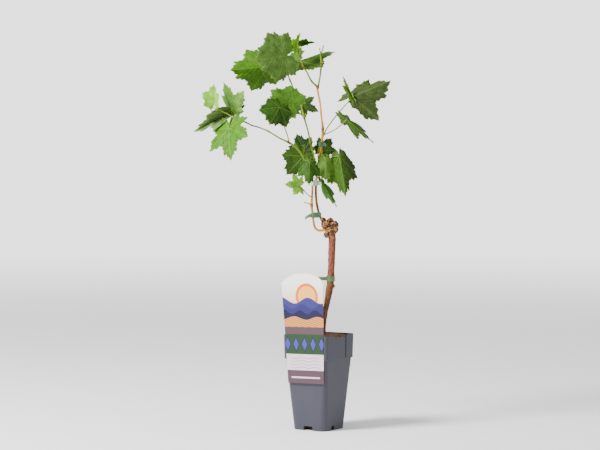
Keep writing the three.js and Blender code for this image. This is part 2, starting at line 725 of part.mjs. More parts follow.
function massSolid(mass, seed) {
  const random = seeded(seed);
  const stemEnd = vector(mass.stem[mass.stem.length - 1]);
  let body = limb(mass.stem, SIDES.stem);
  mass.leaves.forEach((entry) => {
    const leaf = placeLeaf(entry, random);
    body = body.add(leafSolid(leaf));
    if (leaf.at.distanceTo(stemEnd) > STALK.near || entry.from < 1) {
      body = body.add(limb(stalkPath(mass.stem, entry.from, leaf, random), SIDES.stalk));
    }
  });
  let last = mass.stem[mass.stem.length - 2].slice(0, 3);
  mass.buds.forEach((place) => {
    body = body.add(limb([[...last, BUD.stalk], [...place, BUD.stalk]], SIDES.stem, 0, 1));
    body = body.add(knob([...place, BUD.radius], 0, BUD.lumps, random));
    last = place;
  });
  return body;
}

// Flat loop of tape round one or two round stems, with one tail
function tieSolid(tie) {
  const outline = (grow) => {
    const points = [];
    tie.round.forEach(([u, d, radius], i) => {
      const other = tie.round[1 - i] || [u + 1, d, radius];
      const single = tie.round.length < 2;
      const facing = Math.atan2(d - other[1], u - other[0]);
      const spread = single ? Math.PI : Math.PI / 2;
      const last = single ? TAPE.steps - 1 : TAPE.steps;
      for (let k = 0; k <= last; k += 1) {
        const angle = facing - spread + (2 * spread * k) / TAPE.steps;
        const reach = radius + grow;
        points.push(new THREE.Vector2(u + reach * Math.cos(angle), d + reach * Math.sin(angle)));
      }
    });
    return points;
  };
  const ring = new THREE.Shape(outline(GAP + TAPE.thick));
  ring.holes.push(new THREE.Path(outline(GAP)));
  const band = new THREE.ExtrudeGeometry(ring, { depth: tie.tall, bevelEnabled: false })
    .translate(0, 0, tie.z - tie.tall / 2);
  const [from, to] = tie.tail.map(([u, d]) => new THREE.Vector2(u, d));
  const run = to.clone().sub(from);
  const tail = new THREE.BoxGeometry(run.length(), TAPE.thick, tie.tall * TAPE.tailShare)
    .rotateZ(run.angle())
    .translate((from.x + to.x) / 2, (from.y + to.y) / 2, tie.z);
  return solid(band).add(solid(tail));
}

const vine = new THREE.Group();
vine.add(paint('pot', geometryOf(potSolid()), COLOURS.pot, 0.5));
vine.add(paint('compost', geometryOf(soilSolid()), COLOURS.compost, 0.95));
vine.add(paint('picture_card', geometryOf(cardSolid()), COLOURS.card, 0.45));

const crown = new THREE.Group();
crown.rotation.z = CROWN_TURN;
vine.add(crown);

const trunk = trunkSolid();
crown.add(paint('trunk', geometryOf(trunk), COLOURS.trunk, 0.85));

// Each limb and mass is cut clear of the wood that it grows from
const grown = [trunk, limb(TRUNK_PATH, SIDES.trunk, GAP)];
TRUNK_KNOBS.forEach(([u, d, z, radius]) => {
  grown.push(knob([u, d, z, radius * KNOB.clear], KNOB.detail, 0, () => 0));
});
const clearOf = (body, others) => others.reduce((rest, other) => rest.subtract(other), body);
Object.entries(LIMBS).forEach(([name, { path, spurs, colour }]) => {
  let body = limb(path, SIDES.limb);
  let clearance = limb(path, SIDES.limb, GAP);
  spurs.forEach((spur) => {
    body = body.add(limb(spur, SIDES.spur, 0, 1));
    clearance = clearance.add(limb(spur, SIDES.spur, GAP, 1));
  });
  crown.add(paint(name, geometryOf(clearOf(body, grown)), colour, 0.7));
  grown.push(clearance);
});
Object.entries(MASSES).forEach(([name, mass], order) => {
  crown.add(paint(name, geometryOf(clearOf(massSolid(mass, SEEDS.leaves + order), grown)), mass.colour, 0.6));
});
Object.entries(TIES).forEach(([name, tie]) => {
  crown.add(paint(name, geometryOf(clearOf(tieSolid(tie), grown)), tie.colour, 0.5));
});

export default vine;
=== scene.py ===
"""Looks of a young potted grapevine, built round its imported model.
Lengths in the tables are millimetres; every finished piece is in metres with its place in its mesh."""

import math

import bmesh
import bpy
import numpy as np
from bpy.props import FloatProperty, FloatVectorProperty, IntProperty, PointerProperty
from mathutils import Matrix, Vector, noise


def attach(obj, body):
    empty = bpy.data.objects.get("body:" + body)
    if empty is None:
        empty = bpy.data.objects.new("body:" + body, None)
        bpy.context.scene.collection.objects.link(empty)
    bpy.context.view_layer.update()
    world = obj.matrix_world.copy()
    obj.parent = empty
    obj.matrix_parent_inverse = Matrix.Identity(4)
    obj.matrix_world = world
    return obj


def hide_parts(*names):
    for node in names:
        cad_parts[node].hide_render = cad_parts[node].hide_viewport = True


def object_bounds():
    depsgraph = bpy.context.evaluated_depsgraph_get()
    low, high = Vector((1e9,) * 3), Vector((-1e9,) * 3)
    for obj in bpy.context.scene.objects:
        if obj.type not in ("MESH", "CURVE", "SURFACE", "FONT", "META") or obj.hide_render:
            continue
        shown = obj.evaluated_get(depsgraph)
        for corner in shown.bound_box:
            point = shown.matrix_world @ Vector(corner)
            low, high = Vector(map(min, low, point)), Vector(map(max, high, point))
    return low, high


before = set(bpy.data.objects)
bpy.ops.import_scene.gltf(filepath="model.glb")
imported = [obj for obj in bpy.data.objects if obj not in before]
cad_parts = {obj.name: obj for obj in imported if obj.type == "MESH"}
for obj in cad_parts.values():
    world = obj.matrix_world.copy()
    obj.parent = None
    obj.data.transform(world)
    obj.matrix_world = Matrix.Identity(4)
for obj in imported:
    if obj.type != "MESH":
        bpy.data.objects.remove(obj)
cad_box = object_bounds()

bl_info = {
    "name": "Potted grapevine",
    "version": (1, 0, 0),
    "blender": (4, 5, 0),
    "location": "View3D > Sidebar > Grapevine",
    "description": "Builds the looks of a young potted grapevine round its packed model",
    "category": "Add Mesh",
}

MM = 0.001

# The crown is laid out across its broad side: u to the right, d away, z up
CROWN_TURN = math.radians(33.4)
TRUNK_FOOT = 237

# Wood paths as (u, d, z, radius), and the knobs of the old head
TRUNK_PATH = [
    (9, -9, 231, 10.5), (10, -8, 242, 7.4), (13, -7, 273, 6.6), (17, -6, 298, 6.6), (22, -5, 323, 7.6),
    (26, -4, 348, 9), (29.5, -3, 371, 8.8), (30.5, -2, 396, 8.4), (32, 0, 432, 8.7), (33.5, 2, 476, 9.3),
    (31, 2, 512, 9),
]
TRUNK_KNOBS = [
    (32, 3, 499, 15.5), (17, 0, 512, 12), (39, 4, 511, 11), (11.5, -1, 523, 7.5), (29, 5, 522, 8),
    (20, -2, 487, 8.5), (36, -4, 358, 5), (24, 9, 505, 9), (40, -3, 500, 9),
]
CANES = {
    "left_cane": [
        [(12, -3, 498, 3), (-1, -7, 498, 2.9), (-9, -9, 504, 2.8), (-13, -11, 518, 2.7),
         (-16, -12, 543, 2.6), (-18, -12, 560, 3.3), (-17, -11, 583, 2.5), (-16, -10, 606, 2.5),
         (-16, -14, 649, 2.4)],
        [(-18, -12, 562, 1.8), (-26, -14, 565, 1.3), (-32, -15, 567, 1.1), (-38, -18, 568, 1.2)],
    ],
    "main_cane": [
        [(14, 3, 515, 3.2), (6, 5, 526, 3.1), (-2, 6, 549, 3), (-7, 5, 581, 2.9), (-6, 4, 630, 2.9),
         (0, 6, 673, 2.8), (6, 8, 702, 2.8), (10, 10, 751, 3.1), (7, 10, 777, 2.4), (3, 10, 816, 2.3),
         (-3, 10, 848, 2.5), (-3.2, 10, 854.5, 3.3), (-3.4, 10, 860, 2.2)],
    ],
}
SHOOTS = {
    "side_strand": [[(-2, 3, 672, 1.2), (-2, 1, 690, 1.2), (1, 1, 706, 1.2), (5, 3, 722, 1)]],
    "middle_shoot": [
        [(-16, -14, 650, 2.3), (-12, -22, 675, 2.2), (-15, -30, 692, 2), (-20, -36, 710, 2.3),
         (-27, -42, 744, 1.8), (-36, -38, 776, 2.1), (-49, -20, 823, 1.5), (-59, -12, 842, 1.4),
         (-72, -4, 872, 1.7)],
        [(-19, -35, 708, 1.1), (-15, -36, 706, 1), (-11, -37, 708, 0.9), (-6, -38, 713, 0.8)],
        [(-36, -38, 776, 1.1), (-34, -37, 783, 1), (-33, -36, 790, 1)],
    ],
    "left_shoot": [
        [(-17, -16, 655, 2.4), (-27, -28, 666, 2.5), (-36, -38, 678, 2.6), (-57, -55, 705, 2.1),
         (-75, -62, 717, 2.4), (-98, -66, 728, 1.85), (-126, -66, 745, 1.75), (-154, -60, 756, 1.5),
         (-166, -56, 759, 1.6)],
    ],
    "top_left_shoot": [[(-4, 10, 857, 2.4), (-18, 4, 870, 2.1), (-31, -2, 894, 1.7), (-39, -6, 906, 2.1)]],
    "top_right_shoot": [
        [(-2, 10, 856, 2.3), (0, 11, 866, 2.1), (4, 12, 889, 1.9), (6, 11, 914, 2.3), (5, 10, 938, 1.6),
         (8, 10, 945, 1.5), (12, 11, 961, 1.3)],
        [(6, 11, 914, 1.4), (10, 10, 917, 1.5), (13, 9, 922, 2.2)],
        [(5, 10, 937, 1.1), (3, 8, 945, 1.1), (2, 6, 954, 1.3)],
    ],
}

# Reddish brown places on the wood as (u, d, z, reach, strength)
WOOD_MARKS = [
    (-3, 10, 856, 6, 0.85), (-18, 4, 871, 6, 0.5), (10, 10, 750, 7, 0.8), (-4, 5.5, 556, 22, 0.9),
    (-7, 4.6, 590, 26, 0.95), (3, 6, 526, 14, 0.6),
    (-2, 1, 690, 12, 0.6), (-18, -12, 561, 7, 0.7), (-12, -10, 512, 14, 0.45), (-16, -11, 610, 9, 0.4),
    (-75, -62, 717, 7, 0.8), (-126, -66, 745, 8, 0.5), (-160, -58, 757, 20, 0.85), (-20, -36, 710, 7, 0.6),
    (-36, -38, 777, 7, 0.55), (-72, -4, 872, 9, 0.8), (-39, -6, 906, 9, 0.7), (13, 9, 922, 5, 0.9),
    (5, 10, 938, 5, 0.5), (45, 2, 785, 30, 0.4), (30, 4, 765, 14, 0.3),
]


def leaf(start, at, tip, roll, folds, tint, cut=0.5, droop=0.06, wide=1, spread=1, skirt=(1, 1), veins=0.35,
         far=None, towards=0):
    """One leaf of a mass: start is the share of the stem where its stalk leaves, tint its own green, made
    darker as painted shade on shaded leaves and lighter as painted light on lit ones, and veins how much its
    veins stand out. A far tint takes over towards an angle off the midrib, painting light and shade across
    the blade."""
    return locals()


# Masses of leaves: stem path, leaves, buds. The tint of each leaf is one plain colour, with painted shade
# and light in it
MASSES = {
    "far_left_leaves": (
        [(-166, -56, 759, 1.6), (-183, -58, 768, 1.4), (-211, -56, 776, 1.3), (-222, -54, 785, 1.2),
         (-242, -50, 796, 1.1), (-259, -44, 816, 0.9)],
        [
            leaf(0, (-214, -30, 796), (-239, -40, 867), 20, (-50, 17), "38640a", cut=0.9, veins=0.4,
                 skirt=(0.7, 0.7), far="587a38", towards=-90),
            leaf(0.15, (-210, -12, 801), (-316, 6, 743), 0, (35, 35), "4c6432", wide=0.27, skirt=(0.6, 0.6)),
            leaf(0.5, (-222, -62, 752), (-222, -110, 676), -38, (0, 6), "356202", cut=0.9, veins=0.38),
            leaf(1, (-259, -44, 816), (-260, -54, 861), 10, (8, 58), "75a036", cut=0.35, veins=0.45,
                 far="548a04", towards=110),
        ],
        [(-266, -52, 803), (-265, -54, 789)],
    ),
    "top_left_leaves": (
        [(-72, -4, 872, 1.5), (-76, -2, 882, 1.4), (-82, 2, 893, 1.3)],
        [
            leaf(0.2, (-87, -22, 933), (-156, -68, 920), 0, (4, 4), "466427", cut=0.15, veins=0.25,
                 spread=0.85, skirt=(1.1, 1.15)),
            leaf(0.6, (-127, 25, 909), (-222, 8, 899), 0, (-35, -45), "325804", cut=0.3, spread=0.9),
            leaf(1, (-114, 78, 915), (-168, 100, 905), 0, (10, 10), "32580e", droop=0.15),
        ],
        [],
    ),
    "top_leaves": (
        [(-39, -6, 906, 1.5), (-43, 2, 916, 1.3), (-47, 8, 927, 1.2)],
        [
            leaf(0.6, (-48, 56, 921), (43, 56, 951), 74, (-7, -8), "264203", cut=0.4),
            leaf(1, (-53, 4, 953), (-48, -4, 991), 30, (55, 55), "679212", wide=0.6),
            leaf(1, (-46, 16, 962), (-10, 10, 968), 10, (50, 50), "2c5106", wide=0.55),
            leaf(0.8, (-58, 66, 925), (-84, 112, 940), 0, (8, 8), "30560e", droop=0.2),
        ],
        [],
    ),
    "centre_leaves": (
        [(-36, -38, 777, 1.5), (-42, -33, 784, 1.3), (-47, -30, 789, 1.2)],
        [
            leaf(1, (-64, -45, 815), (-120, -68, 846), 6, (12, 38), "406918", cut=0.15),
            leaf(0.5, (-42, 8, 812), (0, -2, 796), 20, (34, 10), "233a10", cut=1.1),
            leaf(0.8, (-70, 34, 805), (-114, 54, 800), 0, (8, 8), "2e540c", droop=0.2),
        ],
        [],
    ),
    "centre_left_leaf": (
        [(-75, -62, 718, 1.3), (-77, -66, 731, 1.2), (-82, -72, 746, 1.1), (-90, -76, 768, 1)],
        [leaf(1, (-98, -80, 803), (-121, -118, 761), 4, (-8, -8), "1b3706", cut=0.15)],
        [],
    ),
    "right_leaves": (
        [(9, 9, 728, 1.4), (20, 6, 752, 1.3), (49, 0, 791, 1.2), (84, 0, 830, 1.1)],
        [
            leaf(1, (84, 0, 832), (180, -10, 873), 4, (-67, -5), "2e3c17", cut=0.85, veins=0.25,
                 spread=0.81, skirt=(0.9, 0.42)),
            leaf(0.12, (69, -20, 775), (136, -42, 718), 0, (-64, -43), "2a4408", wide=0.45, cut=1),
            leaf(1, (82, 4, 838), (58, 6, 886), 20, (50, 40), "5c7928", wide=0.22, cut=1.1),
            leaf(1, (112, 46, 836), (160, 66, 850), 0, (8, 8), "30540f", droop=0.2),
        ],
        [],
    ),
    "low_left_leaves": (
        [(-16, -13, 640, 1.4), (-20, -22, 652, 1.3), (-26, -32, 664, 1.2)],
        [
            leaf(1, (-24, -60, 670), (-25, -76, 610), 0, (-20, -20), "1f3e03",
                 wide=0.75, cut=0.6, skirt=(0.55, 0.6)),
            leaf(0.4, (-40, -2, 683), (-81, -16, 637), 0, (8, 8), "2a430f", cut=0.3, veins=0.5),
            leaf(0.4, (-38, 30, 696), (-56, 42, 740), 0, (10, 10), "0e2a03", cut=0.6),
            leaf(0.2, (-40, 50, 672), (-62, 90, 650), 0, (8, 8), "325913", droop=0.2),
        ],
        [],
    ),
    "low_right_leaves": (
        [(-1, 6, 668, 1.4), (6, 0, 680, 1.3), (14, -6, 688, 1.2)],
        [
            leaf(0.8, (16, -26, 676), (17, -46, 621), 0, (-36, -28), "466720", wide=0.9, cut=0.4,
                 skirt=(0.6, 0.6)),
            leaf(1, (50, -20, 684), (66, -46, 583), 3, (-20, -24), "345110", wide=0.62, cut=0.4,
                 skirt=(0.55, 0.5), far="121908", towards=100),
            leaf(0.4, (9, 46, 696), (34, 56, 730), 0, (10, 10), "1c350b", cut=0.6),
            leaf(0.6, (52, 62, 655), (56, 94, 605), 0, (8, 8), "325913", droop=0.2),
        ],
        [],
    ),
    "hanging_leaf": (
        [(-6, 4, 632, 1.3), (-2, 5, 630, 1.2), (3, 6, 624, 1.1)],
        [leaf(1, (7, 6, 618), (45, -4, 556), 0, (-50, -50), "2d5904", wide=0.42, skirt=(0.6, 0.6))],
        [],
    ),
    "young_leaf": (
        [(-17, -11, 580, 1.1), (-26, -14, 586, 1), (-38, -17, 598, 0.9)],
        [leaf(1, (-50, -20, 609), (-84, -48, 614), 0, (38, 2), "74a831", cut=1)],
        [],
    ),
}

# Tape ties: height, width, (u, d, radius) of the stems inside, the tail's two ends, colour and droop
TIES = {
    "tie_trunk": (377, 13, [(29.7, -2.8, 9.2)], [(21, -7.3), (-2, -12)], "soft", -1.5),
    "tie_low": (536, 13, [(-15.3, -11.8, 3.1), (1.5, 5.6, 3.4)], [(-17, -15), (-34, -20)], "dark", 8),
    "tie_middle": (616, 14, [(-16, -10.8, 3), (-6.3, 4.2, 3.3)], [(-3.4, 1.2), (7, -3)], "pale", 3),
    "tie_top": (713, 12, [(7.4, 8.4, 3.3), (2.6, 1.8, 1.8)], [(10, 5), (19, 2)], "top", 2),
}
TIE_SLOTS = {"soft": "tape", "dark": "tape_dark", "pale": "tape_pale", "top": "tape_dark"}
TIE_GAP = 0.35
TAPE = {"around": 110, "crinkle": 0.3, "pinch": 0.25, "slope": 0.7, "tail_thick": 0.8, "tail_tall": 0.7,
        "tail_rows": 26, "tail_crinkle": 0.2, "swing": 1.6, "twist": 0.35, "taper": 0.12}

# Grape leaf outline: angle off the midrib and reach as a share of it for each lobe's tip, and for each
# bay its angle, its reach and how much deeper a full cut makes it
LOBES = [(0, 1), (52, 0.86), (106, 0.64), (150, 0.5)]
BAYS = [(27, 0.88, 0.36), (80, 0.68, 0.28), (129, 0.5, 0.08)]
NOTCH = (173, 0.1)
LOBE_POINT = 1.25
SKIRT = (60, 110)
TEETH = [2, 1, 2, 1, 1, 1, 1]
TOOTH_DEEP = 0.13
TOOTH_VALLEY = 0.25
SMALL_TEETH = {"least_edge": 0.08, "deep": 0.15, "square": 0.9, "clear": 0.17}

# Veins, with lengths and widths as shares of the midrib and angles in degrees
VEIN = {"length": 0.95, "main": 0.011, "narrow": 0.008, "narrow_from": 120, "side": 0.0055,
        "side_strength": 0.6, "branches": (0.16, 0.9, 0.125), "branch_length": 0.6, "angle": 46,
        "closing": 10, "stagger": 0.03, "wide": 1.25, "taper": 0.8}

# Form of a blade as shares of its midrib, except its veins, which are in millimetres
CREASE = 0.05
WAVE = 0.05
WAVES = 3
BLADE = {"ring_power": 0.9, "quilt_from": 0.03, "ruffle": 0.02, "ruffles": 9, "rim_thinner": 0.45,
         "vein_sunk": 0.12, "vein_raised": 0.5}
# How the tint turns to the far tint across a blade, as painted light and shade
TINT_TURN = {"rate": 0.9, "middle": 0.35}
LIGHT_MASSES = ("far_left_leaves", "young_leaf")
LEAF_SEED = 31
STALK = {"radii": (1.25, 1.0, 1.05), "sink": 1.5, "sag": 0.6, "bow": 0.12, "near": 2, "sides": 10}

# Wood: how far the first limb is sunk, extra radius, relief and width of its strands
WOODS = {
    "cane": {"sunk": 8, "plump": 0.15, "relief": 0.35, "strand": 1.1},
    "shoot": {"sunk": 2.5, "plump": 0.25, "relief": 0.2, "strand": 1.1},
    "stalk": {"sunk": 1.2, "plump": 0.3, "relief": 0.1, "strand": 1.0},
}
STRAND_DRAWN = (1.0, 1.0, 0.12)
NODE = {"rise": 0.15, "reach": 3.2, "swell": 0.28, "tint": 0.75, "small_mark": 10, "mark_swell": 0.5,
        "mark_reach": 4}
TIP = {"length": 1.2, "blunt": 0.12}
BUD = {"profile": ((0, 0.5), (0.15, 1.7), (0.35, 2.4), (0.6, 2.1), (0.85, 1.1), (1, 0.25)),
       "length": 6, "sunk": 0.4, "way": (-0.4, -0.2, 0.9), "tint": 0.55, "stalk": 0.8}

# Old wood: heights of the head, then the noises of the bark, each with its spacing across the wood, its
# spacing along it and a shift. The parts of each rise are shares of the bark's relief
HEAD = {"from": 478, "blend": 14, "top": 530, "blotched": (470, 495), "seed": 1}
TRUNK = {"spacing": 2.5, "sides": 40, "calm": 6, "twist": 0.006, "peel_from": 250}
BARK = {"strand": (2.6, 24, 0), "fine": (1.1, 9, 7), "crack": (3.4, 34, 3), "crack_sharp": 5,
        "rise": (0.9, 0.4, -0.9)}
KNOBS = {"uneven": 0.16, "warp_spacing": 4.5, "warp": 0.35, "pit_spacing": (6, 6, 9), "pit_sharp": 3.2,
         "lump": 6.5, "small_lump": 1.7, "small_share": 0.45, "rise": (1.1, 0.5, -1.9)}
# Painted shade in the bark's furrows: least, from cracks, from pits, from strand valleys, and most
FURROW = {"least": -0.2, "crack": 0.8, "pit": 1.2, "strand": 0.5, "most": 0.9}
STRIP = {"length": 15, "half": 0.95, "pointed": 0.6, "blunt": 0.1, "off": 0.05, "lift": 0.7,
         "below": 0.2, "above": 0.15}

POT = {"height": 238, "rim_half": 65.2, "collar_half": 64, "wall": 2,
       "slot_at": 23.4, "slot_wide": 7, "slot_deep": 1.65, "slot_foot": 181}
SOIL = {"edge": 229, "shoulder": 233.5, "top": 236.6, "half": 61.5, "shares": (0.6, 0.82, 1), "over": 0.6,
        "crumb": 0.45, "corner": 12, "around": 200, "rows": 52}
CHIP = [[(-1.6, -0.9, 0), (1.3, -1.2, 0), (1.8, 0.8, 0.1), (-1.1, 1.1, 0)],
        [(-1.9, -1.0, 0.4), (1.5, -1.1, 0.5), (2.1, 1.0, 0.5), (-1.3, 1.2, 0.4)],
        [(-1.2, -0.6, 0.9), (1.0, -0.8, 0.8), (1.3, 0.5, 1.0), (-0.8, 0.8, 0.8)]]
CARD = {"thick": 0.7, "bottom": 105, "top": 123, "below": 118.5, "above": 130, "dome": 25,
        "lean": 0.0225, "turn": 0.026, "stand": 65.65, "tongue": 36, "drop": 6, "clear": 0.35,
        "curled": 150, "cup": 0.9, "cupped": 90}

# Halves of the card's dome: ends and handles of the curves across and up
DOME = {"left": ((0, -0.45, -0.8, -1), (1, 1, 0.6, 0)), "right": ((1, 0.86, 0.3, 0), (0, 1, 1, 1))}

# Design of the card in centimetres, across from its middle and up from the rim
SUN = (1.2, 9.8)
SUN_REACH = 2.6
HALO_REACH = 3.3
SKY_FADE = (7.0, 13.0)
PICTURE_FOOT = 2.2
PANEL = (-8.6, 0.4)
GREEN_BAND = (-4.6, 0.4)
RIPPLES = (-8.2, -5.2)
FOOT_LINE = (-10.6, -10.2)
MARGINS = (-4.2, 4.2)
BESIDE_DESIGN = (40, 15)

# Hills behind each other: level, swing, turns and phase of their edges
HILLS = [(8.8, 0.75, 0.8, 0.4), (7.3, 0.6, 1.1, 2.0), (5.9, 0.5, 1.4, 3.1), (4.4, 0.4, 0.9, 4.1)]
INKS = {"high sky": "f1efe9", "halo": "d9691c", "sun": "f0a94e", "field": "c98a42", "furrow": "9a5423",
        "green": "1c3a16"}

# Stage in metres: place and size of each light, and the floor, which fades out between two radii
AIM = (0, 0, 0.55)
LIGHTS = {"Key": ((-1.3, -2.9, 2.9), 1.2), "Fill": ((3.2, 0.8, 1.6), 2.0), "Back": ((-1.6, 2.8, 2.4), 2.0)}
FLOOR = {"radius": 30, "sides": 96, "fade": (1.5, 9.0)}
SKY_GLOW = 1.6
CAMERA = {"lens": 120, "sensor_width": 36, "clip_end": 100}
CAMERA_PLACE = (2.713, -4.200, 0.700)
CAMERA_TILT = math.radians(87.835)

# Most of a noise lies in this range, and nothing that is divided by is smaller than the last value
GRAIN_RANGE = (0.3, 0.7)
TINY = 1e-6


def linear(code):
    """sRGB hex such as 6c6c76 as linear red, green, blue and alpha."""
    parts = [int(code[i:i + 2], 16) / 255 for i in (0, 2, 4)]
    return [p / 12.92 if p <= 0.04045 else ((p + 0.055) / 1.055) ** 2.4 for p in parts] + [1.0]


def colour_property(name, description, code):
    return FloatVectorProperty(name=name, description=description, default=linear(code), size=4,
                               subtype="COLOR", min=0, max=1)


def length_property(name, description, millimetres):
    return FloatProperty(name=name, description=description, default=millimetres * MM,
                         min=0, subtype="DISTANCE", unit="LENGTH", precision=5)


class VINE_PG_pot(bpy.types.PropertyGroup):
    plastic: colour_property("Plastic", "Colour of the moulded pot", "353540")
    bevel: length_property("Edge rounding", "Radius of the moulded edges", 0.5)
    compost: colour_property("Compost", "Main colour of the coir", "6c5031")
    crumb: length_property("Crumb", "Height of the crumbs on the compost", 2.4)
    chips: FloatProperty(name="Chips", description="Bark chips to a square metre",
                         default=42000, min=0, soft_max=60000)


class VINE_PG_card(bpy.types.PropertyGroup):
    ground: colour_property("Ground", "Mauve ground of the card", "4e3742")
    sky: colour_property("Sky", "Warm upper field", "e0b078")
    hills: colour_property("Hills", "Violet-blue hills and lozenges", "24215a")
    panel: colour_property("Panel", "Pale lower panel", "d3bfca")
    curl: length_property("Curl", "How far the top leans to the front", 2.5)


class VINE_PG_wood(bpy.types.PropertyGroup):
    bark_low: colour_property("Low bark", "Bark near the compost", "674328")
    bark_middle: colour_property("Middle bark", "Reddish stringy bark", "7d4434")
    bark_head: colour_property("Head", "Weathered wood of the head", "795b3d")
    cane: colour_property("Cane", "Ripened cane", "d2920e")
    shoot: colour_property("Shoot", "Green shoot", "6b870c")
    node: colour_property("Nodes", "Reddish brown at the nodes of the wood", "3c1b0c")
    relief: length_property("Bark relief", "Depth of the furrows in the trunk's bark", 1.1)
    voxel: length_property("Bark mesh", "Size of the trunk's mesh", 0.85)
    strips: FloatProperty(name="Strips", description="Peeling strips to a square metre of bark",
                          default=3600, min=0, soft_max=30000)
    spacing: length_property("Ring spacing", "Length of a stretch of cane or shoot", 1.3)
    sides: IntProperty(name="Sides", description="Sides round a cane or shoot", default=18, min=6, max=64)


class VINE_PG_leaves(bpy.types.PropertyGroup):
    rings: IntProperty(name="Rings", description="Rings from stalk to edge", default=20, min=6, max=60)
    per_tooth: IntProperty(name="Tooth points", description="Points to each side of a tooth",
                           default=8, min=4, max=20)
    thickness: length_property("Thickness", "Thickness of the blade", 0.4)
    quilting: FloatProperty(name="Quilting", description="Rise between veins as a share of the midrib",
                            default=0.019, min=0, max=0.05)
    veins: colour_property("Veins", "Colour of the veins", "96b54c")
    underside: colour_property("Underside", "Downy underside", "7f985a")


class VINE_PG_ties(bpy.types.PropertyGroup):
    soft: colour_property("Trunk tie", "Grey green tape", "4e6339")
    dark: colour_property("Low tie", "Sea green tape", "476f4a")
    pale: colour_property("Middle tie", "Whitish green tape", "bcd1ba")
    top: colour_property("Top tie", "Grey sea green tape", "4b6c54")
    thickness: length_property("Thickness", "Thickness of the tape", 1.1)


class VINE_PG_stage(bpy.types.PropertyGroup):
    floor: colour_property("Floor", "Pale floor", "f2f2f2")
    key: FloatProperty(name="Key light", description="Power of the soft key light", default=430,
                       min=0, unit="POWER")
    fill: FloatProperty(name="Fill light", description="Power of the fill light", default=2.5,
                        min=0, unit="POWER")
    sky: FloatProperty(name="Sky", description="Strength of the even light", default=0.95, min=0)


def add(tree, kind, settings=None, inputs=None):
    """Adds a node with its settings and its inputs: values, sockets, or nodes, whose first output is used."""
    made = tree.nodes.new(kind)
    for key, value in (settings or {}).items():
        setattr(made, key, value)
    for key, value in (inputs or {}).items():
        if isinstance(value, bpy.types.Node):
            value = value.outputs[0]
        if isinstance(value, bpy.types.NodeSocket):
            tree.links.new(value, made.inputs[key])
        else:
            made.inputs[key].default_value = value
    return made


def blank_material(name):
    """A new material with an empty tree."""
    made = bpy.data.materials.new(name)
    made.use_nodes = True
    made.node_tree.nodes.clear()
    return made, made.node_tree


def surface(tree, colour, roughness, bump, ior, specular=0.5):
    """Ends a material's tree with its shader."""
    shader = add(tree, "ShaderNodeBsdfPrincipled", None,
                 {"Base Color": colour, "Roughness": roughness, "Normal": bump, "IOR": ior,
                  "Specular IOR Level": specular})
    add(tree, "ShaderNodeOutputMaterial", None, {"Surface": shader})


def calc(tree, operation, first, second=0.0, third=0.0):
    """Result of one sum."""
    return add(tree, "ShaderNodeMath", {"operation": operation}, {0: first, 1: second, 2: third}).outputs[0]


def remap(tree, value, low, high, to_low, to_high, curve="LINEAR"):
    """A value's range drawn onto another and held at its ends."""
    return add(tree, "ShaderNodeMapRange", {"interpolation_type": curve},
               {"Value": value, "From Min": low, "From Max": high, "To Min": to_low, "To Max": to_high})


def stored(tree, name, output="Fac"):
    """What the mesh keeps at its points under a name."""
    return add(tree, "ShaderNodeAttribute", {"attribute_name": name}).outputs[output]


def raised(tree, height, depth, strength=1.0):
    """Bump with a depth in millimetres."""
    return add(tree, "ShaderNodeBump", None, {"Height": height, "Distance": depth * MM, "Strength": strength})


def gained(tree, colour, gain):
    """A colour times a value."""
    return add(tree, "ShaderNodeVectorMath", {"operation": "SCALE"}, {0: colour, "Scale": gain})


def tones(tree, factor, base, dark, light, ends=GRAIN_RANGE):
    """A colour that a grain makes darker and lighter."""
    return ramp(tree, factor, [(ends[0], shade(base, dark)), (ends[1], shade(base, light))])


def grain(tree, spacing, detail=4.0, roughness=0.55):
    """Noise on the piece's own coordinates, with one spacing in millimetres or one for x, y and z."""
    place = add(tree, "ShaderNodeTexCoord").outputs["Object"]
    scaled = add(tree, "ShaderNodeMapping", None,
                 {"Vector": place, "Scale": [1 / (size * MM) for size in np.broadcast_to(spacing, 3)]})
    return add(tree, "ShaderNodeTexNoise", None,
               {"Vector": scaled, "Scale": 1.0, "Detail": detail, "Roughness": roughness})


def ramp(tree, factor, stops):
    """Colour ramp from (position, colour) stops."""
    made = add(tree, "ShaderNodeValToRGB", None, {"Fac": factor})
    while len(made.color_ramp.elements) < len(stops):
        made.color_ramp.elements.new(0.5)
    for element, (position, colour) in zip(made.color_ramp.elements, stops):
        element.position = position
        element.color = colour
    return made


def shade(colour, gain):
    """The colour made lighter or darker."""
    return [min(1.0, part * gain) for part in colour[:3]] + [1.0]


def mix(tree, factor, first, second):
    """Colour between two others."""
    return add(tree, "ShaderNodeMix", {"data_type": "RGBA"}, {0: factor, 6: first, 7: second}).outputs[2]


def grained_material(name, stops, spacing, fine, relief, roughness):
    """A rough natural or moulded surface: broad grain deals out the stops, fine grain gives the relief."""
    made, tree = blank_material(name)
    small = grain(tree, fine, 6.0)
    colour = ramp(tree, grain(tree, spacing), stops)
    gloss = remap(tree, small, *GRAIN_RANGE, *roughness)
    surface(tree, colour, gloss, raised(tree, small, relief), ior=1.48)
    return made


def plastic_material(settings):
    """Injection moulded polypropylene: satin, with a fine eggshell texture, faint mottling and scuffs."""
    made, tree = blank_material("Satin moulded polypropylene")
    mottle = grain(tree, (34, 34, 60), 3.0)
    scuffs = grain(tree, (0.9, 0.9, 26), 5.0, 0.7)
    eggshell = grain(tree, 0.8, 2.0)
    colour = tones(tree, mottle, settings.plastic, 0.93, 1.06)
    worn = remap(tree, scuffs, 0.66, 0.8, 0.0, 0.35)
    colour = mix(tree, worn, colour, shade(settings.plastic, 1.5))
    gloss = remap(tree, mottle, *GRAIN_RANGE, 0.4, 0.5)
    surface(tree, colour, gloss, raised(tree, eggshell, 0.03), ior=1.49, specular=0.4)
    return made


